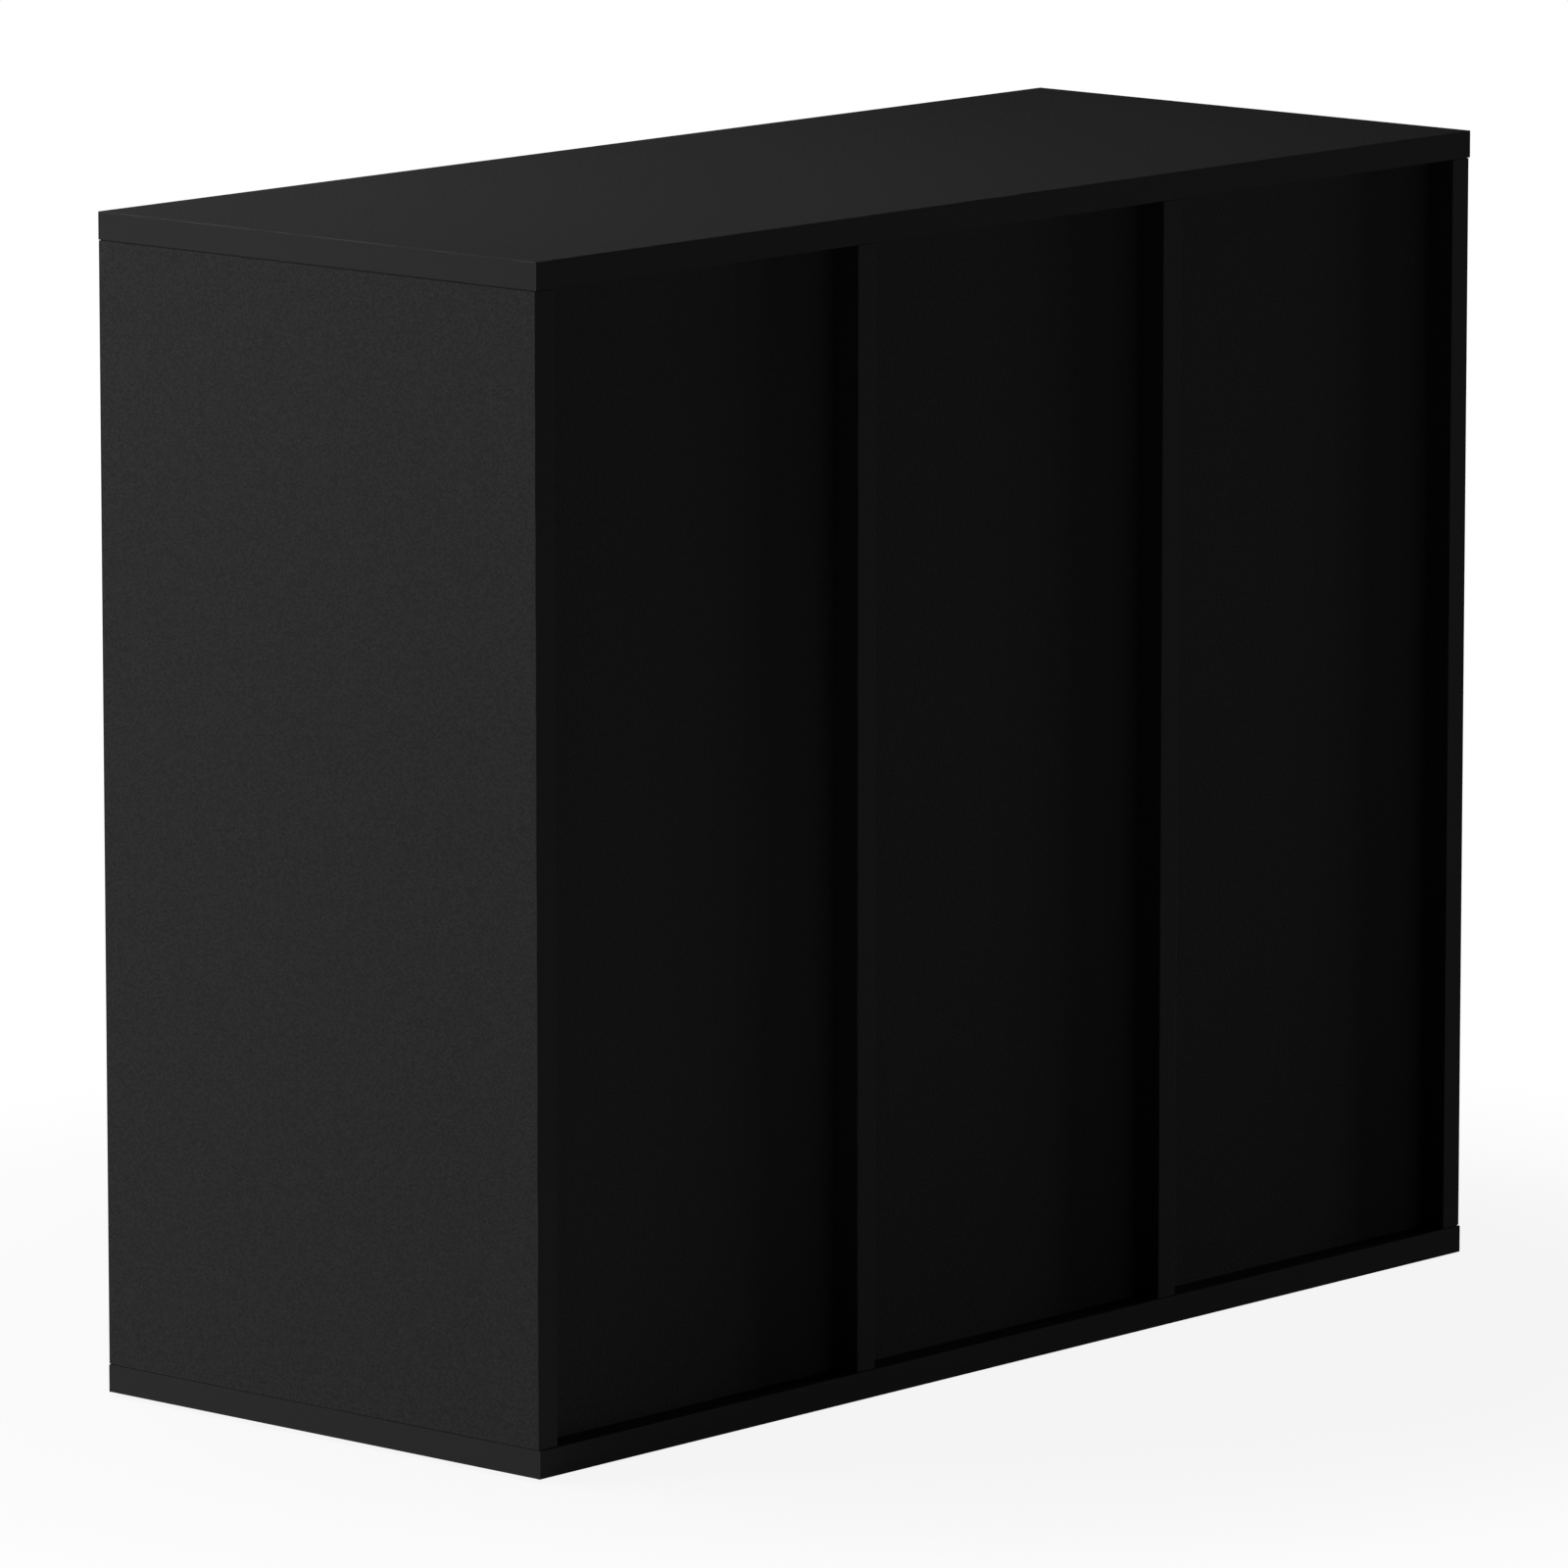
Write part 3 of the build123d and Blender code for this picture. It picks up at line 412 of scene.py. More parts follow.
beech = grained_finish(
    "beech", dark=(0.50, 0.33, 0.18, 1), light=(0.66, 0.47, 0.28, 1),
    roughness=0.6, grains=500.0, depth=0.00002,
)
small_part_finishes = (aluminium, plated_steel, cast_zinc, nylon, black_plastic, rubber, beech)
print("finishes of small parts:", [finish.name for finish in small_part_finishes])

# %% [markdown]
# ## Dressing the frame
# Every piece of the construction model already says what it is made of. The finishes could be given out
# piece by piece. Going by that word dresses all the pieces in one loop, and a piece that is added later
# dresses itself.

# %% Give every piece of the frame its finish
SLOT_FINISHES = {
    "black_melamine": melamine,
    "black_back_board": facing,
    "zinc_alloy": cast_zinc,
    "bright_steel": plated_steel,
    "beech": beech,
    "satin_aluminium": aluminium,
    "black_rubber": rubber,
    "black_plastic": black_plastic,
    "white_nylon": nylon,
    "brushed_pull": plated_steel,
}
slot_of = {part["node"]: part["material_slot"] for part in frame["record"]["subparts"]}
for name, piece in frame["nodes"].items():
    slot_name = slot_of[name]
    finish = band_finish(name) if slot_name == "black_edge_band" else SLOT_FINISHES[slot_name]
    piece.data.materials.clear()
    piece.data.materials.append(finish)
print("dressed:", len(slot_of), "pieces")

# %% [markdown]
# ## Modelling by hand, in code
# The construction model has plain small parts. Those that show get a finer shape here, made the way one
# would by hand: start from a primitive, open it in edit mode, choose faces or edges and inset, extrude
# or bevel them. Choosing is done by a test of place or normal instead of by mouse. A piece's place is
# moved into its mesh, so that the places in it are places in the cabinet. What comes many times is
# modelled at the origin, and its copies are moved.

# %% Start a piece, choose its faces or edges, and close it
import bmesh
from math import hypot, radians

# A face looks a way when its normal goes at least this far along it.
FACING = 0.9
# Two places count as the same when they are closer than this.
CLOSE_ENOUGH = 0.00005
# Where two faces meet at less than this angle, the edge between them is smoothed.
SMOOTH_ANGLE = 35


def start_piece(name):
    """Names the primitive that was just added, moves its place into its mesh and opens it in edit mode."""
    piece = bpy.context.object
    piece.name = name
    bpy.ops.object.transform_apply(location=True, rotation=True, scale=True)
    bpy.ops.object.mode_set(mode="EDIT")
    return piece


def choose(piece, kind, test):
    """Selects the faces or edges that pass the test, and nothing else."""
    bpy.ops.mesh.select_mode(type=kind)
    bpy.ops.mesh.select_all(action="DESELECT")
    mesh = bmesh.from_edit_mesh(piece.data)
    parts = mesh.faces if kind == "FACE" else mesh.edges
    for part in parts:
        part.select_set(test(part))
    bmesh.update_edit_mesh(piece.data)


def on_ring(edge, centre, radius, y):
    """True for an edge of the circle with this radius round the Y axis through centre, at this y."""
    for end in edge.verts:
        distance = hypot(end.co.x - centre.x, end.co.z - centre.z)
        if abs(distance - radius) > CLOSE_ENOUGH or abs(end.co.y - y) > CLOSE_ENOUGH:
            return False
    return True


def close_piece(piece, smooth_angle=SMOOTH_ANGLE):
    """Leaves edit mode and smooths what is round."""
    bpy.ops.object.mode_set(mode="OBJECT")
    bpy.ops.object.shade_smooth_by_angle(angle=radians(smooth_angle))
    print(piece.name, "has", len(piece.data.polygons), "faces")


print("a place is found to within", CLOSE_ENOUGH, "metres")

# %% Copy, turn and join pieces, and hand them over
from mathutils import Matrix


def copy_piece(piece, name, move, turn=(0, 0, 0)):
    """A copy with a mesh of its own, turned about the origin and then moved."""
    bpy.ops.object.select_all(action="DESELECT")
    piece.select_set(True)
    bpy.context.view_layer.objects.active = piece
    bpy.ops.object.duplicate(linked=False)
    copy = bpy.context.object
    copy.name = name
    copy.rotation_euler = turn
    copy.location = move
    bpy.ops.object.transform_apply(location=True, rotation=True, scale=True)
    return copy


def turn_to(outward, upward):
    """The turn that points a piece's own +Z outward and its +Y upward."""
    out, up = Vector(outward), Vector(upward)
    return Matrix((up.cross(out), up, out)).transposed().to_euler()


def join_pieces(pieces, name):
    """Joins copies into one piece."""
    bpy.ops.object.select_all(action="DESELECT")
    for piece in pieces:
        piece.select_set(True)
    bpy.context.view_layer.objects.active = pieces[0]
    bpy.ops.object.join()
    joined = bpy.context.object
    joined.name = name
    return joined


def give(piece, material, slot_name, body, *nodes):
    """Paints a piece, tells which body it rides on and which pieces of the frame it stands for."""
    piece.data.materials.clear()
    piece.data.materials.append(material)
    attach(piece, body)
    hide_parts(*nodes)


print("modelling helpers are ready")

# %% [markdown]
# ## Cup pulls
# Each door has a flush pull: a shallow steel cup, turned on a lathe, with a thin rim that lies on the
# door. It could be spun from half a section. Starting from the rim's disc and pushing faces in and out
# keeps every ring at a known radius, so the rounded edges can be chosen by that radius afterwards. The
# bright rings of the turning follow the middle of each pull, so each pull has its own copy of the
# finish.

# %% Rings of the turning, and wear on the rim
RINGS_PER_METRE = 3000.0
RIM_WEAR = (0.0225, 0.024)
rings, rings_in, rings_out = new_group("turned rings", {"Middle": (0.0, 0.0, 0.0)}, ["Ring", "Wear"])
rings_place = rings.nodes.new("ShaderNodeTexCoord").outputs["Object"]
offset = rings.nodes.new("ShaderNodeSeparateXYZ")
rings.links.new(vector_node(rings, "SUBTRACT", rings_place, rings_in.outputs["Middle"]), offset.inputs[0])
squares = math_node(
    rings, "ADD",
    math_node(rings, "MULTIPLY", offset.outputs["X"], offset.outputs["X"]),
    math_node(rings, "MULTIPLY", offset.outputs["Z"], offset.outputs["Z"]),
)
ring_radius = math_node(rings, "POWER", squares, 0.5)
ring_noise = rings.nodes.new("ShaderNodeTexNoise")
ring_noise.noise_dimensions = "1D"
ring_noise.inputs["Scale"].default_value = RINGS_PER_METRE
rings.links.new(ring_radius, ring_noise.inputs["W"])
rings.links.new(ring_noise.outputs["Fac"], rings_out.inputs["Ring"])
rings.links.new(spread(rings, ring_radius, RIM_WEAR, FULL), rings_out.inputs["Wear"])
print("group:", rings.name)

# %% Turned steel
RING_DARK = (0.33, 0.33, 0.34, 1)
RING_LIGHT = (0.50, 0.50, 0.51, 1)
RING_RELIEF = 0.00002
SATIN = (0.30, 0.40)
RIM_POLISH = 0.08


def turned_steel(name, middle):
    """Brushed stainless steel with fine rings round the middle, polished by hands at the rim."""
    material, tree, shader = new_finish(name, Metallic=1.0)
    turned = place_group(tree, rings, Middle=middle)
    touched = place_group(tree, handling, Patches_per_metre=METAL_PATCHES)
    colour_between(tree, shader, turned.outputs["Ring"], RING_DARK, RING_LIGHT)
    satin = spread(tree, touched.outputs["Patch"], FULL, SATIN)
    polish = math_node(tree, "MULTIPLY", turned.outputs["Wear"], RIM_POLISH)
    tree.links.new(math_node(tree, "SUBTRACT", satin, polish), shader.inputs["Roughness"])
    raise_surface(tree, shader, turned.outputs["Ring"], RING_RELIEF)
    return material


print("steel is as rough as", SATIN)

# %% Sizes of a pull
RIM = 0.001
CUP_RADIUS = 0.020
CUP_WALL = 0.0012
DOORS = ("left", "middle", "right")


def pull_middle(door):
    """The middle of a pull's rim, on the front face of its door."""
    low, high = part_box(f"{door}_door_pull")
    middle = (low + high) / 2
    middle.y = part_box(f"{door}_door_panel")[0].y
    return middle


pull_low, pull_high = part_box("left_door_pull")
middle = pull_middle("left")
rim_radius = (pull_high.x - pull_low.x) / 2
cup_inside = CUP_RADIUS - CUP_WALL
cup_depth = pull_high.y - middle.y
rim_place = middle - Vector((0, RIM / 2, 0))
print("rim radius:", rim_radius, "cup depth:", cup_depth)

# %% The pull of the left door
bpy.ops.object.select_all(action="DESELECT")
bpy.ops.mesh.primitive_cylinder_add(
    vertices=96, radius=rim_radius, depth=RIM, location=rim_place, rotation=(radians(90), 0, 0)
)
pull = start_piece("left_pull")
choose(pull, "FACE", lambda face: face.normal.y < -FACING)
bpy.ops.mesh.inset(thickness=rim_radius - cup_inside)
bpy.ops.mesh.extrude_region_move(TRANSFORM_OT_translate={"value": (0, RIM + cup_depth - CUP_WALL, 0)})
choose(pull, "FACE", lambda face: face.normal.y > FACING)
bpy.ops.mesh.inset(thickness=rim_radius - CUP_RADIUS)
bpy.ops.mesh.extrude_region_move(TRANSFORM_OT_translate={"value": (0, cup_depth, 0)})
print("cup pushed in by", cup_depth)

# %% Its rounded edges
RIM_ROUND = 0.0006
LIP_ROUND = 0.0005
CUP_ROUND = 0.003
BACK_ROUND = 0.0004
rim_face = pull_low.y
cup_floor = pull_high.y - CUP_WALL
for radius, y, size, steps in (
    (rim_radius, rim_face, RIM_ROUND, 4),
    (cup_inside, rim_face, LIP_ROUND, 4),
    (cup_inside, cup_floor, CUP_ROUND, 8),
    (CUP_RADIUS, pull_high.y, BACK_ROUND, 2),
):
    choose(pull, "EDGE", lambda edge: on_ring(edge, middle, radius, y))
    bpy.ops.mesh.bevel(offset=size, segments=steps, affect="EDGES")
close_piece(pull)

# %% The other two pulls
pulls = {"left": pull}
for door in DOORS[1:]:
    pulls[door] = copy_piece(pull, f"{door}_pull", pull_middle(door) - middle)
for door, piece in pulls.items():
    steel = turned_steel(f"{door} pull steel", pull_middle(door))
    give(piece, steel, "brushed_pull", f"{door}_door", f"{door}_door_pull")
print("pulls:", len(pulls))

# %% [markdown]
# ## Rollers
# Under each door two nylon rollers run on a rib of the track. A moulded roller is not a solid disc: it
# has a groove for the rib, a thin dished web, and a hub round the axle. It could be spun from half a
# section. Here the groove comes from cutting the rim with two planes and drawing the faces between them
# in, the web and hub come from insets that step in and out, and bridging the two open rings makes the
# bore. Both faces are shaped at once, so they stay alike.

# %% One roller, with its groove
GROOVE = 0.0036
GROOVE_RADIUS = 0.006
roller_low, roller_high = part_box("left_door_left_roller")
axle = (roller_low + roller_high) / 2
flange_radius = (roller_high.x - roller_low.x) / 2
half_width = (roller_high.y - roller_low.y) / 2

bpy.ops.object.select_all(action="DESELECT")
bpy.ops.mesh.primitive_cylinder_add(
    vertices=64, radius=flange_radius, depth=2 * half_width, location=axle, rotation=(radians(90), 0, 0)
)
roller = start_piece("left_left_roller")
for side in (-1, 1):
    bpy.ops.mesh.select_all(action="SELECT")
    cut_place = axle + Vector((0, side * GROOVE / 2, 0))
    bpy.ops.mesh.bisect(plane_co=cut_place, plane_no=(0, 1, 0))
choose(roller, "FACE", lambda face: abs(face.calc_center_median().y - axle.y) < GROOVE / 4)
bpy.ops.mesh.extrude_region()
drawn_in = GROOVE_RADIUS / flange_radius
bpy.ops.transform.resize(value=(drawn_in, 1, drawn_in), center_override=axle)
print("flange radius:", flange_radius, "groove radius:", GROOVE_RADIUS)

# %% Its web, hub and bore
FLANGE_WALL = 0.0012
WEB_SLOPE = 0.0003
WEB_WIDTH = 0.0033
WEB_DISH = 0.0007
BORE_RADIUS = 0.00155
FLANGE_ROUND = 0.0003
flange_place = half_width - CLOSE_ENOUGH
hub_radius = flange_radius - FLANGE_WALL - WEB_WIDTH - 2 * WEB_SLOPE
web_steps = ((FLANGE_WALL, 0), (WEB_SLOPE, -WEB_DISH), (WEB_WIDTH, 0), (WEB_SLOPE, WEB_DISH))

choose(roller, "FACE", lambda face: abs(face.calc_center_median().y - axle.y) > flange_place)
for width, step in web_steps:
    bpy.ops.mesh.inset(thickness=width, depth=step)
bpy.ops.mesh.inset(thickness=hub_radius - BORE_RADIUS)
bpy.ops.mesh.delete(type="ONLY_FACE")
choose(roller, "EDGE", lambda edge: edge.is_boundary)
bpy.ops.mesh.bridge_edge_loops()
for y in (axle.y - half_width, axle.y + half_width):
    choose(roller, "EDGE", lambda edge: on_ring(edge, axle, flange_radius, y))
    bpy.ops.mesh.bevel(offset=FLANGE_ROUND, segments=3, affect="EDGES")
close_piece(roller)

# %% All six rollers
roller_count = 0
for door in DOORS:
    for end in ("left", "right"):
        node_name = f"{door}_door_{end}_roller"
        low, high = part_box(node_name)
        move = (low + high) / 2 - axle
        piece = roller
        if move.length > CLOSE_ENOUGH:
            piece = copy_piece(roller, f"{door}_{end}_roller", move)
        give(piece, nylon, "white_nylon", node_name, node_name)
        roller_count += 1
print("rollers:", roller_count)

# %% [markdown]
# ## Rubber bumpers
# Where a door stops against a side, two small rubber domes catch it. A dome could be a squashed ball,
# but its foot would curl in. Here it is a slice of a larger ball: a sphere is cut by a plane, the cut is
# closed, and the flat face is drawn out to a short skirt that stands on the board.

# %% One dome
BUMPER_RADIUS = 0.005
BUMPER_HEIGHT = 0.0025
SKIRT = 0.0006
DOME_RADIUS = 0.0046
DOME_SMOOTH_ANGLE = 50
dome_height = BUMPER_HEIGHT - SKIRT
ball_radius = (DOME_RADIUS ** 2 + dome_height ** 2) / (2 * dome_height)
flare = BUMPER_RADIUS / DOME_RADIUS

bpy.ops.object.select_all(action="DESELECT")
bpy.ops.mesh.primitive_uv_sphere_add(
    segments=32, ring_count=48, radius=ball_radius, location=(0, 0, BUMPER_HEIGHT - ball_radius)
)
dome = start_piece("door_stops")
bpy.ops.mesh.select_all(action="SELECT")
bpy.ops.mesh.bisect(plane_co=(0, 0, SKIRT), plane_no=(0, 0, 1), clear_inner=True, use_fill=True)
choose(dome, "FACE", lambda face: face.normal.z < -FACING)
bpy.ops.mesh.extrude_region_move(TRANSFORM_OT_translate={"value": (0, 0, -SKIRT)})
bpy.ops.transform.resize(value=(flare, flare, 1), center_override=(0, 0, 0))
close_piece(dome, DOME_SMOOTH_ANGLE)

# %% Twelve domes, on both sides
BUMPER_INSET = 0.100
bumper_low, bumper_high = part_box("door_bumpers")
door_low, door_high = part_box("left_door_edge_bands")
domes = []
for wall, inwards in ((bumper_low.x, 1), (bumper_high.x, -1)):
    for door in DOORS:
        panel_low, panel_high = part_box(f"{door}_door_panel")
        for z in (door_low.z + BUMPER_INSET, door_high.z - BUMPER_INSET):
            spot = Vector((wall, (panel_low.y + panel_high.y) / 2, z))
            domes.append(copy_piece(dome, "dome", spot, turn_to((inwards, 0, 0), (0, 0, 1))))

bpy.data.objects.remove(dome)
stops = join_pieces(domes, "door_stops")
give(stops, rubber, "black_rubber", "carcass", "door_bumpers")
print("domes:", len(domes))

# %% [markdown]
# ## Cam locks
# Sixteen cast drums pull the boards together. What shows is a face, level with the board, that is
# slightly dished inside a rim, with a cross for the screwdriver and a small arrow that shows where the
# drum grips. The cross could be cut by hand into the face's own mesh. The face is made by insets, and
# the recesses by Boolean modifiers, which is the quickest way to cut a shape that doesn't follow the
# mesh.

# %% One drum, with its dished face
CAM_RADIUS = 0.0075
CAM_DEPTH = 0.0125
DRUM_RIM = 0.0009
DISH = 0.0003
DRUM_ROUND = 0.0003
on_rim = CAM_RADIUS - DRUM_RIM / 2


def at_rim(edge):
    """True for an edge of the drum's outer ring, on its face."""
    return all(hypot(end.co.x, end.co.y) > on_rim and end.co.z > -CLOSE_ENOUGH for end in edge.verts)


bpy.ops.object.select_all(action="DESELECT")
bpy.ops.mesh.primitive_cylinder_add(
    vertices=64, radius=CAM_RADIUS, depth=CAM_DEPTH, location=(0, 0, -CAM_DEPTH / 2)
)
drum = start_piece("cam_drums")
choose(drum, "FACE", lambda face: face.normal.z > FACING)
bpy.ops.mesh.inset(thickness=DRUM_RIM)
bpy.ops.mesh.inset(thickness=DISH, depth=-DISH)
choose(drum, "EDGE", at_rim)
bpy.ops.mesh.bevel(offset=DRUM_ROUND, segments=3, affect="EDGES")
close_piece(drum)

# %% Its cross, arrow and mouth
CROSS_LENGTH = 0.008
CROSS_WIDTH = 0.0016
CROSS_DEPTH = 0.002
CROSS_TAPER = 0.8
ARROW_RADIUS = 0.0011
ARROW_DEPTH = 0.001
ARROW_PLACE = (0, -0.0052, -0.0002)
# The mouth is the open side, where the drum grips the head of its bolt.
THROAT = 0.007
GRIP = 0.0031
MERGE_DISTANCE = 0.000005


def combine(piece, other, operation):
    """Cuts the other piece out of this one, or unites the two, and removes the other."""
    bpy.ops.object.mode_set(mode="OBJECT")
    boolean = piece.modifiers.new("boolean", "BOOLEAN")
    boolean.operation = operation
    boolean.solver = "EXACT"
    boolean.object = other
    bpy.ops.object.select_all(action="DESELECT")
    piece.select_set(True)
    bpy.context.view_layer.objects.active = piece
    bpy.ops.object.modifier_apply(modifier=boolean.name)
    bpy.data.objects.remove(other)


for length, width in ((CROSS_LENGTH, CROSS_WIDTH), (CROSS_WIDTH, CROSS_LENGTH)):
    bpy.ops.object.select_all(action="DESELECT")
    bpy.ops.mesh.primitive_cube_add(size=1, scale=(length, width, 2 * CROSS_DEPTH))
    bar = start_piece("bar")
    choose(bar, "FACE", lambda face: face.normal.z < -FACING)
    bpy.ops.transform.resize(value=(CROSS_TAPER, CROSS_TAPER, 1), center_override=(0, 0, -CROSS_DEPTH))
    combine(drum, bar, "DIFFERENCE")
bpy.ops.mesh.primitive_cylinder_add(
    vertices=3, radius=ARROW_RADIUS, depth=ARROW_DEPTH, location=ARROW_PLACE, rotation=(0, 0, radians(60))
)
combine(drum, start_piece("arrow"), "DIFFERENCE")
bpy.ops.mesh.primitive_cube_add(
    size=1, location=(0, GRIP - CAM_RADIUS, -CAM_DEPTH), scale=(THROAT, 2 * CAM_RADIUS, 2 * THROAT)
)
combine(drum, start_piece("mouth"), "DIFFERENCE")
bpy.ops.object.mode_set(mode="EDIT")
bpy.ops.mesh.select_all(action="SELECT")
bpy.ops.mesh.remove_doubles(threshold=MERGE_DISTANCE)
close_piece(drum)

# %% All sixteen drums
CAM_SETBACK = 0.034
FITTING_INSET = 0.049
cam_faces = {"left_side": 1, "left_divider": 1, "right_divider": -1, "right_side": -1}
drums = []
for upright, outward in cam_faces.items():
    low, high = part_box(upright)
    surface = high.x if outward > 0 else low.x
    for y in (low.y + FITTING_INSET, high.y - FITTING_INSET):
        for z, inwards in ((low.z + CAM_SETBACK, 1), (high.z - CAM_SETBACK, -1)):
            turn = turn_to((outward, 0, 0), (0, 0, inwards))
            drums.append(copy_piece(drum, "drum", (surface, y, z), turn))
bpy.data.objects.remove(drum)
cam_drums = join_pieces(drums, "cam_drums")
give(cam_drums, cast_zinc, "zinc_alloy", "carcass", "cam_locks")
print("drums:", len(drums))

# %% [markdown]
# ## Shelf pins
# Each shelf lies on four steel pins: a round shank in the upright, a collar that stops it, cut off level
# with the shelf, and a flat tab with a rounded nose. A pin could be drawn out of one cylinder, but a
# round shank and a square tab share few edges. So three simple shapes are united with Boolean modifiers,
# and a Bevel modifier then takes the sharpness off all the edges at once.

# %% One pin: collar and shank
PIN_RADIUS = 0.0025
PIN_DEPTH = 0.0075
COLLAR_RADIUS = 0.0045
COLLAR = 0.0012
overlap = COLLAR / 2

bpy.ops.object.select_all(action="DESELECT")
bpy.ops.mesh.primitive_cylinder_add(
    vertices=48, radius=COLLAR_RADIUS, depth=COLLAR, location=(0, 0, COLLAR / 2)
)
pin = start_piece("pin")
bpy.ops.mesh.bisect(plane_co=(0, PIN_RADIUS, 0), plane_no=(0, 1, 0), clear_outer=True, use_fill=True)
bpy.ops.object.mode_set(mode="OBJECT")

bpy.ops.mesh.primitive_cylinder_add(
    vertices=32, radius=PIN_RADIUS, depth=PIN_DEPTH + overlap, location=(0, 0, (overlap - PIN_DEPTH) / 2)
)
combine(pin, start_piece("shank"), "UNION")
print("collar and shank have", len(pin.data.polygons), "faces")

# %% Its tab and eased edges
TAB_WIDTH = 0.006
TAB_LENGTH = 0.007
NOSE_ROUND = 0.0015
EASE = 0.00015
EASE_ANGLE = 50
tab_middle = (overlap + TAB_LENGTH) / 2

bpy.ops.mesh.primitive_cube_add(
    size=1, location=(0, 0, tab_middle), scale=(TAB_WIDTH, 2 * PIN_RADIUS, TAB_LENGTH - overlap)
)
tab = start_piece("tab")
choose(tab, "EDGE", lambda edge: all(end.co.z > tab_middle and end.co.y < 0 for end in edge.verts))
bpy.ops.mesh.bevel(offset=NOSE_ROUND, segments=5, affect="EDGES")
combine(pin, tab, "UNION")

ease = pin.modifiers.new("ease", "BEVEL")
ease.width = EASE
ease.segments = 2
ease.limit_method = "ANGLE"
ease.angle_limit = radians(EASE_ANGLE)
bpy.ops.object.modifier_apply(modifier=ease.name)
close_piece(pin)

# %% All twelve pins
pin_low, pin_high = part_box("shelf_pins")
pin_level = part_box("shelf_left")[0].z - PIN_RADIUS
bay_faces = {"left_side": (1,), "left_divider": (-1, 1), "right_divider": (-1, 1), "right_side": (-1,)}
pins = []
for upright, ways in bay_faces.items():
    low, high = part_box(upright)
    for outward in ways:
        surface = high.x if outward > 0 else low.x
        for y in (pin_low.y + COLLAR_RADIUS, pin_high.y - COLLAR_RADIUS):
            turn = turn_to((outward, 0, 0), (0, 0, 1))
            pins.append(copy_piece(pin, "pin copy", (surface, y, pin_level), turn))
bpy.data.objects.remove(pin)
pin_set = join_pieces(pins, "pin_set")
give(pin_set, plated_steel, "bright_steel", "carcass", "shelf_pins")
print("pins:", len(pins))

# %% [markdown]
# ## Floor and light
# The cabinet stands on a plain pale floor among four soft lamps, as in a small studio: one beside it,
# one above it, a broad one far on the left whose light grazes the back, and a weak one behind. A white
# backdrop could be lit until it is white, but that would wash out the black boards. Here the floor and
# the sky are white only for what looks at them straight or in a mirror, so the lamps stay at a plain
# level.

# %% Floor that keeps a pale shadow
FLOOR_SIZE = 60.0
FLOOR_COLOUR = grey(0.6)
NEAR_AND_FAR_FLOOR = (0.5, 1.1)
SHADOW_SHARE = 0.1
WHITE = grey(1.0)


def seen_directly(tree):
    """1 for rays that look straight at a thing, in a mirror or through glass."""
    rays = tree.nodes.new("ShaderNodeLightPath").outputs
    mirrored = math_node(tree, "MAXIMUM", rays["Is Glossy Ray"], rays["Is Transmission Ray"])
    return math_node(tree, "MAXIMUM", rays["Is Camera Ray"], mirrored)


bpy.ops.object.select_all(action="DESELECT")
bpy.ops.mesh.primitive_plane_add(size=FLOOR_SIZE, location=(0, 0, 0))
floor = bpy.context.object
floor.name = "floor"
floor_paint = bpy.data.materials.new("pale floor")
floor_paint.use_nodes = True
tree = floor_paint.node_tree
tree.nodes.clear()
plain = add_node(tree, "ShaderNodeBsdfDiffuse", Color=FLOOR_COLOUR)
white = add_node(tree, "ShaderNodeEmission", Color=WHITE, Strength=1.0)
distance = tree.nodes.new("ShaderNodeVectorMath")
distance.operation = "LENGTH"
tree.links.new(tree.nodes.new("ShaderNodeTexCoord").outputs["Object"], distance.inputs[0])
whiteness = spread(tree, distance.outputs["Value"], NEAR_AND_FAR_FLOOR, (1.0 - SHADOW_SHARE, 1.0))
blend = tree.nodes.new("ShaderNodeMixShader")
tree.links.new(math_node(tree, "MULTIPLY", whiteness, seen_directly(tree)), blend.inputs["Fac"])
tree.links.new(plain.outputs[0], blend.inputs[1])
tree.links.new(white.outputs[0], blend.inputs[2])
tree.links.new(blend.outputs[0], tree.nodes.new("ShaderNodeOutputMaterial").inputs["Surface"])
floor.data.materials.append(floor_paint)
print("floor:", floor.dimensions)

# %% White surroundings
SKY_LEVEL = 0.005

world = bpy.data.worlds.new("studio")
world.use_nodes = True
bpy.context.scene.world = world
tree = world.node_tree
tree.nodes.clear()
dim_sky = add_node(tree, "ShaderNodeBackground", Color=WHITE, Strength=SKY_LEVEL)
white_sky = add_node(tree, "ShaderNodeBackground", Color=WHITE, Strength=1.0)
blend = tree.nodes.new("ShaderNodeMixShader")
tree.links.new(seen_directly(tree), blend.inputs["Fac"])
tree.links.new(dim_sky.outputs[0], blend.inputs[1])
tree.links.new(white_sky.outputs[0], blend.inputs[2])
tree.links.new(blend.outputs[0], tree.nodes.new("ShaderNodeOutputWorld").inputs["Surface"])
print("sky level:", SKY_LEVEL)

# %% Four soft lamps
from math import pi

LAMP_AIM = Vector((0, 0, 0.4))


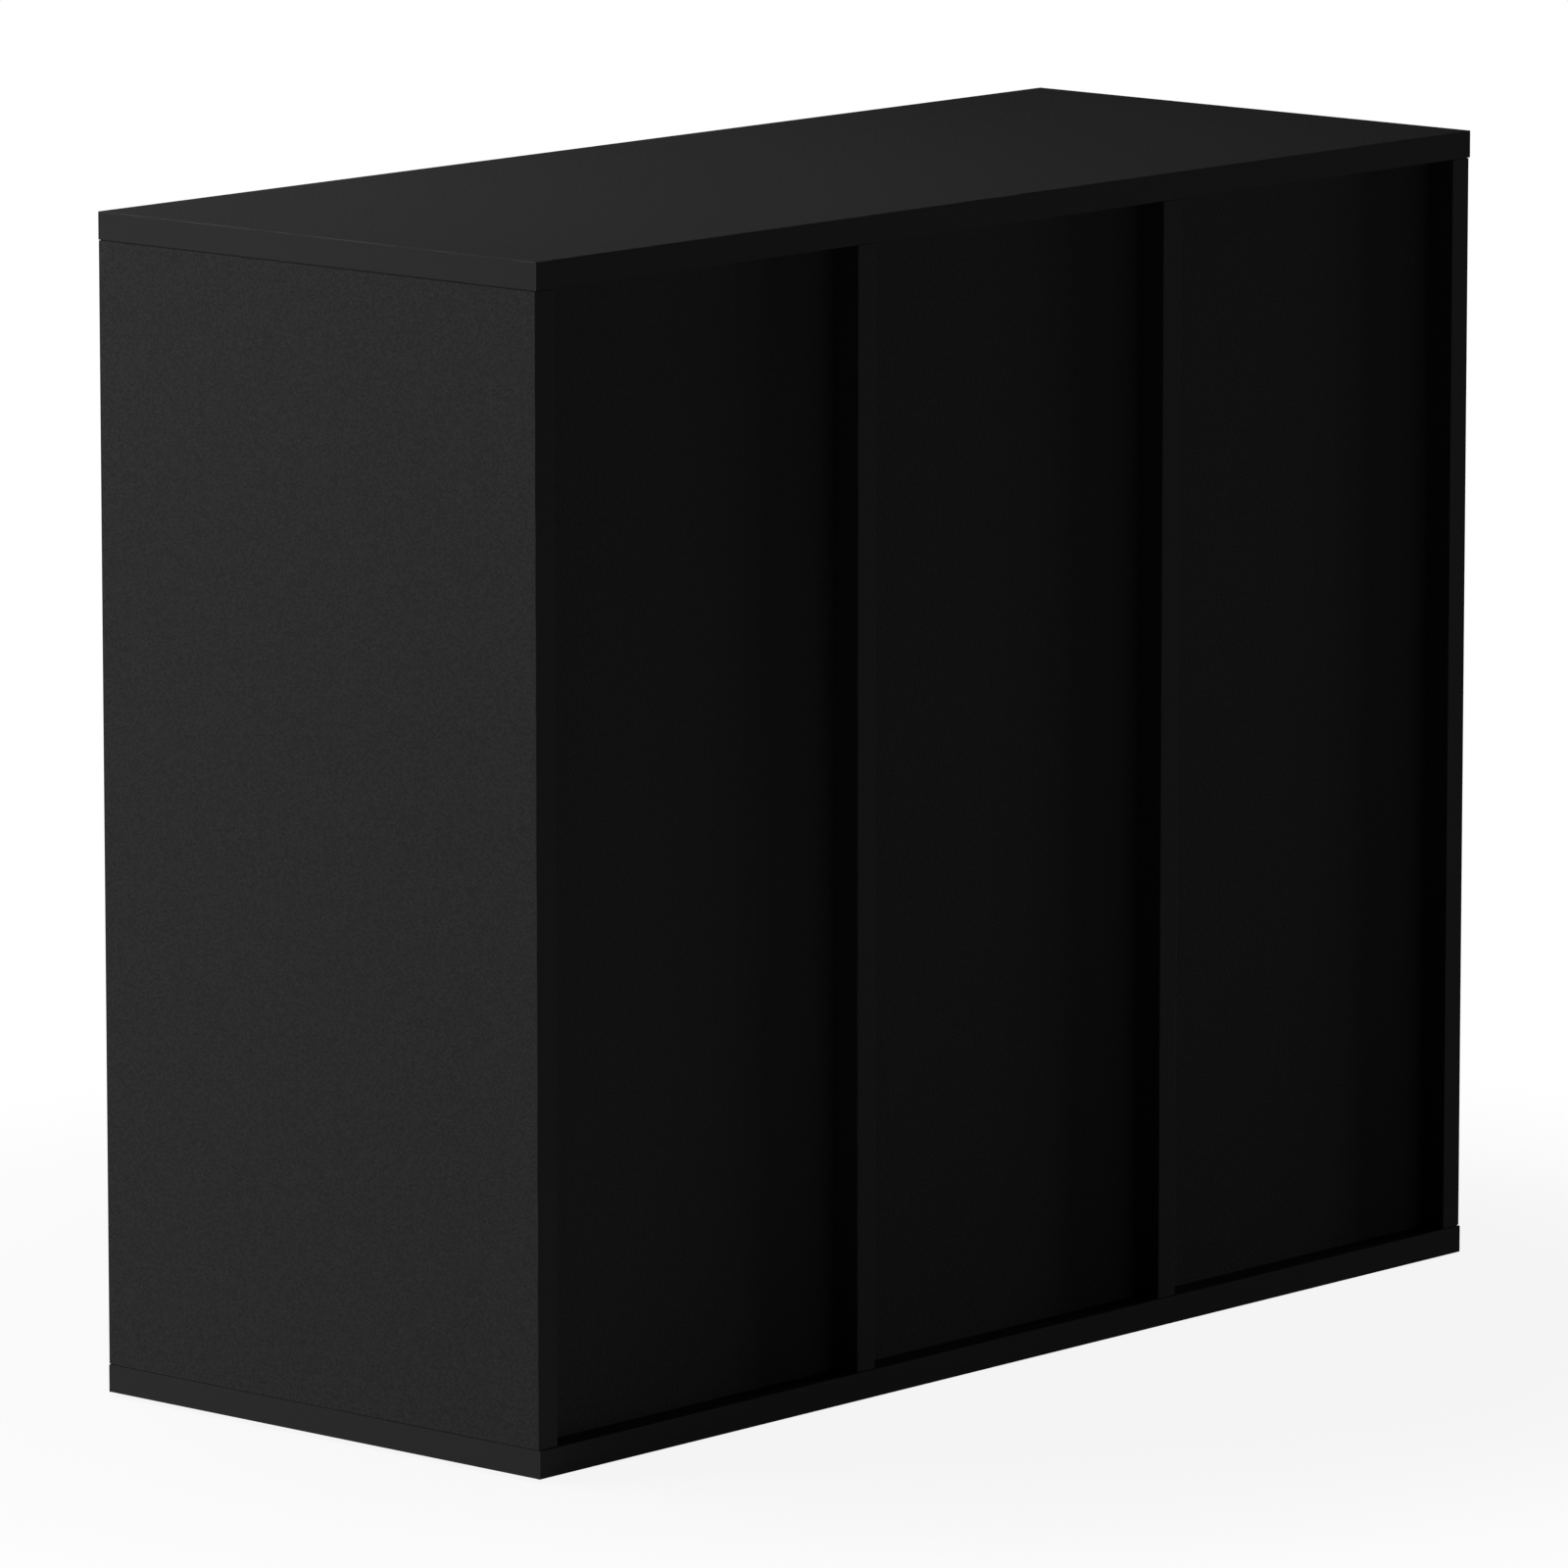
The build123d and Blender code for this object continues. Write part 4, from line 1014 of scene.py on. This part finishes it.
def soft_lamp(name, place, width, height, radiance):
    """A rectangular lamp that looks at the middle of the cabinet; its power follows from its radiance."""
    data = bpy.data.lights.new(name, "AREA")
    data.shape = "RECTANGLE"
    data.size = width
    data.size_y = height
    data.energy = radiance * pi * width * height
    lamp = bpy.data.objects.new(name, data)
    bpy.context.scene.collection.objects.link(lamp)
    lamp.location = place
    lamp.rotation_mode = "QUATERNION"
    lamp.rotation_quaternion = (LAMP_AIM - Vector(place)).to_track_quat("-Z", "Y")
    lamp.visible_camera = False
    print(name, "at", place, "with", round(data.energy, 1), "watts")


soft_lamp("side lamp", place=(3.42, -2.25, 0.68), width=1.26, height=1.32, radiance=23.8)
soft_lamp("top lamp", place=(0.74, -0.64, 2.03), width=1.44, height=0.93, radiance=8.1)
soft_lamp("grazing lamp", place=(-12.0, 1.05, 0.5), width=4.2, height=0.98, radiance=126.0)
soft_lamp("back lamp", place=(-5.14, 6.12, 0.5), width=8.0, height=0.96, radiance=2.8)

# %% [markdown]
# ## Camera
# The view is from behind and a little above, with a very long lens, so upright edges stay almost
# parallel. A camera could be placed by eye. This one is worked out from the direction of view, the
# distance and the lens, and is then moved a centimetre or two sideways and down to frame the cabinet,
# without any lens shift.

# %% Camera behind the cabinet, on its right
from math import cos, sin

VIEW_AZIMUTH = radians(131.682)
VIEW_ELEVATION = radians(9.794)
VIEW_DISTANCE = 8.4348
VIEW_AIM = Vector((0, 0, 0.403))
SENSOR = 36.0
LENS = 282.40
ASIDE = -0.01262
ALOFT = -0.02368

backwards = Vector((
    sin(VIEW_AZIMUTH) * cos(VIEW_ELEVATION),
    -cos(VIEW_AZIMUTH) * cos(VIEW_ELEVATION),
    sin(VIEW_ELEVATION),
))
rightwards = Vector((cos(VIEW_AZIMUTH), sin(VIEW_AZIMUTH), 0))
upwards = backwards.cross(rightwards)
camera_data = bpy.data.cameras.new("camera")
camera_data.sensor_width = SENSOR
camera_data.lens = LENS
camera_data.clip_end = 100.0
camera = bpy.data.objects.new("camera", camera_data)
bpy.context.scene.collection.objects.link(camera)
camera.location = VIEW_AIM + backwards * VIEW_DISTANCE + rightwards * ASIDE + upwards * ALOFT
camera.rotation_mode = "QUATERNION"
camera.rotation_quaternion = (-backwards).to_track_quat("-Z", "Y")
bpy.context.scene.camera = camera
bpy.context.scene.view_settings.view_transform = "Standard"
print("camera at", tuple(camera.location))

# %% [markdown]
# ## Finish

# %% Finish
import json
